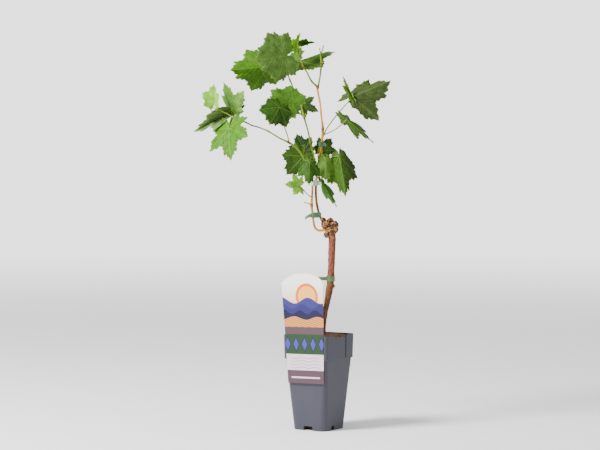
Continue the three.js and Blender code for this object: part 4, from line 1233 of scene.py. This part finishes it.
def bark_at(place):
    """Rise of the bark at a place in millimetres as a share of the relief, and how much painted shade darkens
    its furrow.
    The stem is stringy and cracked along its grain, and the head is lumpy with pits."""
    head = min(1, max(0, (place.z - HEAD["from"]) / HEAD["blend"]))
    untwisted = Vector((*rotated(place.x, place.y, -TRUNK["twist"] * place.z), place.z))
    strand, fine, seam = (drawn_noise(untwisted, *BARK[name]) for name in ("strand", "fine", "crack"))
    crack = 1 - min(1, abs(seam) * BARK["crack_sharp"])
    warp = noise.noise_vector(place / KNOBS["warp_spacing"]) * KNOBS["warp"]
    cells = Vector([part / spacing for part, spacing in zip(place, KNOBS["pit_spacing"])])
    near, second = noise.voronoi(cells + warp)[0][:2]
    pit = 1 - min(1, (second - near) * KNOBS["pit_sharp"])
    lump = noise.noise(place / KNOBS["lump"])
    lump += KNOBS["small_share"] * noise.noise(place / KNOBS["small_lump"] + Vector((5, 0, 0)))
    stringy = summed(BARK["rise"], (strand, fine, crack))
    knobbly = summed(KNOBS["rise"], (lump, fine, pit * pit))
    calm = min(1, max(0, (place.z - TRUNK_FOOT) / TRUNK["calm"]))
    dark = FURROW["least"] + FURROW["strand"] * max(0, -strand)
    dark += FURROW["crack"] * crack if head < 0.5 else FURROW["pit"] * pit
    return (stringy * (1 - head) + knobbly * head) * calm, min(FURROW["most"], max(0, dark))


def build_trunk(settings):
    """Trunk and head fused to one skin, its bark furrowed lengthwise and its head lumpy."""
    noise.seed_set(HEAD["seed"])
    points, faces = loft(tube_rings(smooth_path(TRUNK_PATH, TRUNK["spacing"]), TRUNK["sides"]))
    bm = bmesh.new()
    verts = [bm.verts.new(p) for p in points]
    for face in faces:
        bm.faces.new([verts[i] for i in face])
    for seed, (*centre, radius) in enumerate(TRUNK_KNOBS):
        knob_points(bm, centre, radius, 3.7 * seed)
    cut = bmesh.ops.bisect_plane(bm, geom=bm.verts[:] + bm.edges[:] + bm.faces[:], dist=1e-4,
                                 plane_co=(0, 0, TRUNK_FOOT), plane_no=(0, 0, 1), clear_inner=True)
    bmesh.ops.holes_fill(bm, edges=[e for e in cut["geom_cut"] if isinstance(e, bmesh.types.BMEdge)])
    for vert in bm.verts:
        vert.co = Vector(crown(np.array(vert.co)))
    bmesh.ops.recalc_face_normals(bm, faces=bm.faces[:])
    piece = new_object("trunk_bark", close_mesh(bm, "trunk_bark"))
    fused = piece.modifiers.new("Skin", "REMESH")
    fused.mode = "VOXEL"
    fused.voxel_size = settings.voxel
    mesh = plain_result(piece).data
    furrows = np.zeros(len(mesh.vertices))
    moved = np.zeros((len(mesh.vertices), 3))
    for i, vert in enumerate(mesh.vertices):
        rise, furrows[i] = bark_at(vert.co / MM)
        moved[i] = vert.co + vert.normal * rise * settings.relief
    mesh.vertices.foreach_set("co", moved.astype(np.float32).ravel())
    # The furrow value is painted shade, darkening the bark in its cracks, pits and strand valleys
    set_attribute(mesh, "furrow", "FLOAT", furrows)
    mesh.shade_smooth()
    skin = bark_material(settings)
    mesh.materials.clear()
    mesh.materials.append(skin)
    ground = peel_ground(mesh)
    strips = scatter("trunk_strips", ground, bark_strip(skin), skin,
                     {"Density": settings.strips, "Seed": 4, "Smallest": 0.5, "Largest": 1.2,
                      "Turn": 0.14, "Tilt": 0.03})
    bpy.data.objects.remove(ground)
    settle(strips, "bark")
    settle(piece, "bark", "trunk")


def peel_ground(mesh):
    """The part of the trunk below its head where strips peel."""
    bm = open_mesh(mesh)
    away = [f for f in bm.faces if not TRUNK["peel_from"] * MM < f.calc_center_median().z < HEAD["from"] * MM]
    bmesh.ops.delete(bm, geom=away, context="FACES")
    return new_object("peel", close_mesh(bm, "peel"))


def bark_strip(material):
    """A thin strip of bark along its own Y, its upper end lifting off."""
    rings = []
    for share in np.linspace(0, 1, 6):
        y = (share - 0.5) * STRIP["length"]
        z = STRIP["off"] + STRIP["lift"] * share ** 3
        half = STRIP["half"] * (1 - STRIP["pointed"] * abs(share - 0.5) * 2) + STRIP["blunt"]
        low, high = z - STRIP["below"], z + STRIP["above"]
        rings.append([(-half, y, low), (half, y, low), (half, y, high), (-half, y, high)])
    points, faces = loft(rings)
    return mesh_piece("strip", points * MM, [f[::-1] for f in faces], material)


def square_loop(half, power, count):
    """Loop round a square with round corners, anticlockwise."""
    turn = np.arange(count) * 2 * math.pi / count
    c, s = np.cos(turn), np.sin(turn)
    size = half / (np.abs(c) ** power + np.abs(s) ** power) ** (1 / power)
    return np.stack([c * size, s * size], 1)


def crumb_rise(x, y):
    """Rise of the crumbs at a place: middling and small crumbs, and broad hollows."""
    place = Vector((x, y, 0))
    crumbs = noise.noise(place / 3.1) + 0.6 * noise.noise(place / 1.4 + Vector((0, 0, 5)))
    return crumbs + 0.7 * noise.noise(place / 9 + Vector((0, 0, 9)))


def crumb_skin(height):
    """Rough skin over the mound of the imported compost, as a loft from its edge to its middle."""
    mound = [SOIL["top"], SOIL["shoulder"], SOIL["edge"]]
    profile = [(1, SOIL["edge"] - 4), (1, SOIL["edge"] - 1)]
    shares = np.linspace(1, 0.02, SOIL["rows"])
    profile += zip(shares, np.interp(shares, SOIL["shares"], mound) + SOIL["over"])
    rings = []
    for row, (share, z) in enumerate(profile):
        loop = square_loop(SOIL["half"] * share, SOIL["corner"], SOIL["around"])
        rise = [height * crumb_rise(x, y) if row > 1 else 0 for x, y in loop]
        rings.append(np.column_stack([loop, z + np.array(rise)]))
    return loft(rings)


def build_compost(settings):
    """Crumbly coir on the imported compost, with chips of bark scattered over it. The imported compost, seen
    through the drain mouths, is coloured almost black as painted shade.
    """
    base = settings.compost
    dull = (0.85, 0.97)
    coir = grained_material("Loose coir and bark crumb",
                            [(0.3, shade(base, 0.25)), (0.5, list(base)), (0.7, shade(base, 2.1))],
                            2.2, 0.8, 0.9, dull)
    # Very dark coir for the imported compost: painted shade in the drain mouths and under the crumb
    damp = grained_material("Damp coir in the drain mouths",
                            [(0.3, shade(base, 0.08)), (0.7, shade(base, 0.3))],
                            3, 0.8, 0.9, dull)
    bark = grained_material("Shredded bark chips",
                            [(0.3, linear("2e170b")), (0.5, linear("7d4720")), (0.72, linear("b87a3e"))],
                            5, (0.5, 0.5, 2.5), 0.3, (0.75, 0.92))
    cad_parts["compost"].data.materials[0] = damp
    points, faces = crumb_skin(settings.crumb / MM * SOIL["crumb"])
    crumb = mesh_piece("compost_crumb", points * MM, faces, coir)
    settle(crumb, "compost")
    points, faces = loft(CHIP)
    bit = mesh_piece("chip", points * MM, faces, bark, smooth=False)
    chips = scatter("compost_chips", crumb, bit, bark,
                    {"Density": settings.chips, "Seed": 2, "Smallest": 0.15, "Largest": 0.85,
                     "Turn": math.pi, "Tilt": 0.6})
    settle(chips, "compost")


def build_pot(settings):
    """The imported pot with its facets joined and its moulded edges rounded."""
    bm = open_mesh(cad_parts["pot"].data)
    bmesh.ops.remove_doubles(bm, verts=bm.verts[:], dist=TINY)
    bmesh.ops.dissolve_limit(bm, angle_limit=math.radians(0.6), verts=bm.verts[:], edges=bm.edges[:])
    mesh = close_mesh(bm, "pot_shell")
    mesh.materials.clear()
    mesh.materials.append(plastic_material(settings))
    mesh.shade_smooth()
    piece = new_object("pot_shell", mesh)
    slot = slot_cutter()
    cut = piece.modifiers.new("Collar slot", "BOOLEAN")
    cut.operation = "DIFFERENCE"
    cut.object = slot
    edge = piece.modifiers.new("Edges", "BEVEL")
    edge.width = settings.bevel
    edge.segments = 2
    edge.limit_method = "ANGLE"
    edge.angle_limit = math.radians(40)
    flats = piece.modifiers.new("Flats", "WEIGHTED_NORMAL")
    flats.weight = 100
    plain_result(piece)
    bpy.data.objects.remove(slot)
    settle(piece, "pot", "pot")


def slot_cutter():
    """Cutter for the upright slot in the collar, which leans with the collar's wall."""
    near, far = (POT["slot_at"] + side * POT["slot_wide"] / 2 for side in (-1, 1))
    rings = []
    for z, wall in ((POT["slot_foot"], POT["collar_half"]), (POT["height"] + 2, POT["rim_half"])):
        inner = wall - POT["slot_deep"]
        rings.append([(inner, near, z), (inner + 6, near, z), (inner + 6, far, z), (inner, far, z)])
    points, faces = loft(rings)
    cutter = mesh_piece("slot", points * MM, faces, None, smooth=False)
    fix_normals(cutter)
    return cutter


def card_place(flat, depth):
    """Card coordinates (across, up, depth to the front) in millimetres to the object's metres."""
    across, up = rotated(flat[:, 0], flat[:, 1], CARD["turn"])
    up, out = rotated(up, depth, CARD["lean"])
    return np.column_stack([across, -out - CARD["stand"], up + POT["height"]]) * MM


def bezier(a, b, c, d):
    """Values along a curve with two end points and two handles."""
    t = np.linspace(0, 1, 60)
    return (1 - t) ** 3 * a + 3 * (1 - t) ** 2 * t * b + 3 * (1 - t) * t ** 2 * c + t ** 3 * d


def card_top(share):
    """Height of the card's domed top at a share of its half width, from -1 to 1."""
    (left, left_up), (right, right_up) = ([bezier(*handles)[::-1] for handles in DOME[half]] for half in DOME)
    rise = np.interp(share, np.concatenate([left, right]), np.concatenate([left_up, right_up]))
    return CARD["above"] + CARD["dome"] * rise


def card_face(settings):
    """The printed card, which curls a little to the front. Its back takes one place beside the design, so
    it is plain."""
    below, above = CARD["below"], CARD["above"]
    across = np.sin(np.linspace(-math.pi / 2, math.pi / 2, 36))
    tops = card_top(across)
    rings, prints = [], []
    for row in np.linspace(0, 1, 60):
        up = -below + (tops + below) * row
        width = CARD["bottom"] + (CARD["top"] - CARD["bottom"]) * (up + below) / (above + below)
        flat = np.column_stack([across * np.minimum(width, CARD["top"]) / 2, up])
        cup = CARD["cup"] * across ** 2 * np.clip(up / CARD["cupped"], 0, 1)
        bow = settings.curl / MM * np.clip(up / CARD["curled"], 0, 1) ** 2 + cup
        rings.append(np.vstack([card_place(flat, bow + CARD["thick"]), card_place(flat, bow)[::-1]]))
        prints.append(np.vstack([flat, flat[::-1]]) / 10)
    points, faces = loft(rings, flat=True)
    card = mesh_piece("picture_card_face", points, faces, card_material(settings))
    mesh = card.data
    inked = at_corners(mesh, np.vstack(prints))
    for face in mesh.polygons:
        if face.normal.y > 0.5:
            inked[list(face.loop_indices)] = BESIDE_DESIGN
    set_layout(mesh, "print", inked)
    mesh.set_sharp_from_angle(angle=math.radians(40))
    return card


def card_tongue(settings):
    """The tongue of the card, over the rim and down inside it."""
    plain = grained_material("Plain card edge",
                             [(0.3, shade(settings.ground, 0.9)), (0.7, list(settings.ground))],
                             20, 1, 0.02, (0.38, 0.46))
    half, thick, top = CARD["tongue"] / 2, CARD["thick"], POT["height"] + CARD["clear"]
    front = -CARD["stand"]
    inner = POT["wall"] + CARD["clear"] - POT["rim_half"]
    middle = thick * 0.5
    rows = np.array([(front - 0.2, top - 3.2), (front - 0.2, top - 0.6), (front, top),
                     (front + 0.9, top + middle), (inner - 0.4, top + middle),
                     (inner + middle, top + 0.1), (inner + middle, top - CARD["drop"])])
    way = unit(np.gradient(rows, axis=0))
    side = np.column_stack([-way[:, 1], way[:, 0]]) * thick / 2
    rings = [[(-half, *low), (half, *low), (half, *high), (-half, *high)]
             for low, high in zip(rows - side, rows + side)]
    points, faces = loft(rings)
    tongue = mesh_piece("picture_card_tongue", points * MM, faces, plain)
    fix_normals(tongue)
    tongue.data.set_sharp_from_angle(angle=math.radians(40))
    return tongue


def build_card(settings):
    """Thin printed card with a domed top, hooked over the rim by a tongue."""
    settle(card_face(settings), "card", "picture_card")
    settle(card_tongue(settings), "card")


def fix_normals(piece):
    """Turns every face of a closed piece outwards."""
    bm = open_mesh(piece.data)
    bmesh.ops.recalc_face_normals(bm, faces=bm.faces[:])
    bm.to_mesh(piece.data)
    bm.free()


def tie_outline(stems, grow, steps):
    """Loop round one or two stems, as a belt lies."""
    paired = len(stems) > 1
    spread = math.pi / 2 if paired else math.pi
    points = []
    for i, (u, d, radius) in enumerate(stems):
        other = stems[1 - i] if paired else (u + 1, d)
        facing = math.atan2(d - other[1], u - other[0])
        for k in range(steps + 1 if paired else steps):
            angle = facing - spread + 2 * spread * k / steps
            points.append((u + (radius + grow) * math.cos(angle), d + (radius + grow) * math.sin(angle)))
    return np.array(points)


def resample(points, count):
    """Evenly spaced points round a closed loop."""
    ring = np.vstack([points, points[:1]])
    run = np.concatenate([[0], np.cumsum(np.linalg.norm(np.diff(ring, axis=0), axis=1))])
    spots = np.arange(count) / count * run[-1]
    return np.column_stack([np.interp(spots, run, ring[:, k]) for k in range(2)])


def tape_section(thick, tall, turns=5):
    """Flat section with round edges, as (out, up)."""
    half, end = thick / 2, tall / 2 - thick
    turn = np.linspace(0, math.pi, turns)
    over = list(zip(half * np.cos(turn), tall / 2 - half + half * np.sin(turn)))
    under = [(-x, -z) for x, z in over]
    down, up = ([(x, z) for z in np.linspace(first, -first, 7)] for x, first in ((-half, end), (half, -end)))
    return np.array(over + down + under + up)


def tie_loop(stems, z, tall, thick):
    """Loop of crinkled tape round the stems, a little higher on one side."""
    loop = resample(tie_outline(stems, TIE_GAP + thick / 2, 48), TAPE["around"])
    ahead = np.roll(loop, -1, 0) - np.roll(loop, 1, 0)
    out = unit(np.column_stack([ahead[:, 1], -ahead[:, 0]]))
    rings = []
    for k, (p, n) in enumerate(zip(loop, out)):
        crinkle = TAPE["crinkle"] * noise.noise(Vector((p[0] / 1.7, p[1] / 1.7, z)))
        slope = TAPE["slope"] * math.sin(2 * math.pi * k / TAPE["around"])
        ring = []
        for o, h in tape_section(thick, tall):
            pinch = TAPE["pinch"] * noise.noise(Vector((p[0] / 2.2, p[1] / 2.2, h / 2.4)))
            ring.append((*(p + n * (o + max(0, crinkle + pinch))), z + h + slope))
        rings.append(ring)
    return loft(rings, closed=True)


def tie_tail(tail, z, tall, thick, hang):
    """Loose end of a tie, which swings, twists and droops towards its tip."""
    start, end = (np.array(p, float) for p in tail)
    reach = np.linalg.norm(end - start)
    way = (end - start) / reach
    over = np.array([-way[1], way[0]])
    rings = []
    for share in np.linspace(0, 1, TAPE["tail_rows"]):
        swing = TAPE["swing"] * math.sin(share * math.pi * 1.5) * share
        fall = hang * share * share
        taper = 1 - TAPE["taper"] * share
        ring = []
        for o, h in tape_section(thick * TAPE["tail_thick"], tall * TAPE["tail_tall"]):
            side, lift = rotated(o, h * taper, TAPE["twist"] * share)
            crinkle = TAPE["tail_crinkle"] * noise.noise(Vector((share * 9, h / 2, z)))
            ring.append((*(start + way * reach * share + over * (side + swing + crinkle)), z + lift - fall))
        rings.append(ring)
    return loft(rings)


def build_ties(settings):
    """Loops of crinkled tape with one loose tail each."""
    thick = settings.thickness / MM
    for name, (z, tall, stems, tail, shade_name, hang) in TIES.items():
        skin = tape_material("Crinkled tie tape " + name, list(getattr(settings, shade_name)))
        points, faces = tie_loop(stems, z, tall, thick)
        tail_points, tail_faces = tie_tail(tail, z, tall, thick, hang)
        faces += [tuple(len(points) + i for i in face) for face in tail_faces]
        piece = mesh_piece(name + "_tape", crown(np.vstack([points, tail_points])), faces, skin)
        fix_normals(piece)
        settle(piece, TIE_SLOTS[shade_name], name)


def area_light(name, place, size, power):
    """Soft square light that looks at the plant."""
    data = bpy.data.lights.new(name, "AREA")
    data.shape = "SQUARE"
    data.size = size
    data.energy = power
    lamp = new_object(name, data)
    lamp.location = place
    lamp.rotation_euler = (Vector(AIM) - Vector(place)).to_track_quat("-Z", "Y").to_euler()


def build_floor(settings):
    """Pale round floor that fades out into the sky."""
    skin, tree = blank_material("Matt painted floor")
    paint = tones(tree, grain(tree, 90), settings.floor, 1.0, 0.98, (0.4, 0.6))
    matt = add(tree, "ShaderNodeBsdfPrincipled", None,
               {"Base Color": paint, "Roughness": 0.9, "Specular IOR Level": 0.2})
    place = add(tree, "ShaderNodeTexCoord").outputs["Object"]
    away = add(tree, "ShaderNodeVectorMath", {"operation": "LENGTH"}, {0: place}).outputs["Value"]
    fade = remap(tree, away, *FLOOR["fade"], 0.0, 1.0, "SMOOTHSTEP")
    clear = add(tree, "ShaderNodeBsdfTransparent")
    far = add(tree, "ShaderNodeMixShader", None, {0: fade, 1: matt, 2: clear})
    add(tree, "ShaderNodeOutputMaterial", None, {"Surface": far})
    sides = FLOOR["sides"]
    turn = np.arange(sides) * 2 * math.pi / sides
    ring = np.column_stack([np.cos(turn) * FLOOR["radius"], np.sin(turn) * FLOOR["radius"], np.zeros(sides)])
    mesh_piece("studio_floor", ring, [tuple(range(sides))], skin, smooth=False)


def build_stage(settings):
    """Pale floor, even sky, soft lights and the camera."""
    build_floor(settings)
    world = bpy.data.worlds.new("Even sky")
    world.use_nodes = True
    tree = world.node_tree
    seen = add(tree, "ShaderNodeLightPath").outputs["Is Camera Ray"]
    strength = calc(tree, "MULTIPLY_ADD", seen, settings.sky * SKY_GLOW, settings.sky)
    background = tree.nodes["Background"]
    background.inputs["Color"].default_value = (1, 1, 1, 1)
    tree.links.new(strength, background.inputs["Strength"])
    bpy.context.scene.world = world
    for name, (place, size) in LIGHTS.items():
        area_light(name, place, size, settings.key if name == "Key" else settings.fill)
    data = bpy.data.cameras.new("Camera")
    for setting, value in CAMERA.items():
        setattr(data, setting, value)
    camera = new_object("Camera", data)
    camera.location = CAMERA_PLACE
    camera.rotation_euler = (CAMERA_TILT, 0, CROWN_TURN)
    bpy.context.scene.camera = camera


class VINE_OT_stage(bpy.types.Operator):
    """Pale floor, soft lights and the camera"""
    bl_idname = "vine.stage"
    bl_label = "Stage"

    def execute(self, context):
        build_stage(context.scene.vine_stage)
        return {"FINISHED"}


class VINE_OT_pot(bpy.types.Operator):
    """Moulded square pot"""
    bl_idname = "vine.pot"
    bl_label = "Pot"

    def execute(self, context):
        build_pot(context.scene.vine_pot)
        return {"FINISHED"}


class VINE_OT_compost(bpy.types.Operator):
    """Coir crumb and bark chips"""
    bl_idname = "vine.compost"
    bl_label = "Compost"

    def execute(self, context):
        build_compost(context.scene.vine_pot)
        return {"FINISHED"}


class VINE_OT_card(bpy.types.Operator):
    """Printed picture card with its tongue"""
    bl_idname = "vine.card"
    bl_label = "Picture card"

    def execute(self, context):
        build_card(context.scene.vine_card)
        return {"FINISHED"}


class VINE_OT_trunk(bpy.types.Operator):
    """Old trunk with stringy bark"""
    bl_idname = "vine.trunk"
    bl_label = "Trunk"

    def execute(self, context):
        build_trunk(context.scene.vine_wood)
        return {"FINISHED"}


class VINE_OT_canes(bpy.types.Operator):
    """Ripened canes"""
    bl_idname = "vine.canes"
    bl_label = "Canes"

    def execute(self, context):
        build_canes(context.scene.vine_wood)
        return {"FINISHED"}


class VINE_OT_shoots(bpy.types.Operator):
    """Green shoots with their spurs"""
    bl_idname = "vine.shoots"
    bl_label = "Green shoots"

    def execute(self, context):
        build_shoots(context.scene.vine_wood)
        return {"FINISHED"}


class VINE_OT_leaves(bpy.types.Operator):
    """All masses of leaves with their stalks"""
    bl_idname = "vine.leaves"
    bl_label = "Leaves"

    def execute(self, context):
        build_leaves(context.scene.vine_leaves, context.scene.vine_wood)
        return {"FINISHED"}


class VINE_OT_ties(bpy.types.Operator):
    """Tape ties"""
    bl_idname = "vine.ties"
    bl_label = "Ties"

    def execute(self, context):
        build_ties(context.scene.vine_ties)
        return {"FINISHED"}


OPERATORS = [VINE_OT_stage, VINE_OT_pot, VINE_OT_compost, VINE_OT_card, VINE_OT_trunk, VINE_OT_canes,
             VINE_OT_shoots, VINE_OT_leaves, VINE_OT_ties]
GROUPS = {"vine_pot": VINE_PG_pot, "vine_card": VINE_PG_card, "vine_wood": VINE_PG_wood,
          "vine_leaves": VINE_PG_leaves, "vine_ties": VINE_PG_ties, "vine_stage": VINE_PG_stage}


class VINE_PT_sidebar(bpy.types.Panel):
    bl_idname = "VINE_PT_sidebar"
    bl_label = "Potted grapevine"
    bl_space_type = "VIEW_3D"
    bl_region_type = "UI"
    bl_category = "Grapevine"

    def draw(self, context):
        for kind in OPERATORS:
            self.layout.operator(kind.bl_idname)
        for group, kind in GROUPS.items():
            box = self.layout.box()
            for name in kind.__annotations__:
                box.prop(getattr(context.scene, group), name)


def register():
    for kind in (*GROUPS.values(), *OPERATORS, VINE_PT_sidebar):
        bpy.utils.register_class(kind)
    for name, kind in GROUPS.items():
        setattr(bpy.types.Scene, name, PointerProperty(type=kind))


def unregister():
    for name in GROUPS:
        delattr(bpy.types.Scene, name)
    for kind in (VINE_PT_sidebar, *reversed(OPERATORS), *reversed(list(GROUPS.values()))):
        bpy.utils.unregister_class(kind)


def main():
    register()
    for kind in OPERATORS:
        group, name = kind.bl_idname.split(".")
        getattr(getattr(bpy.ops, group), name)()


if __name__ == "__main__":
    main()
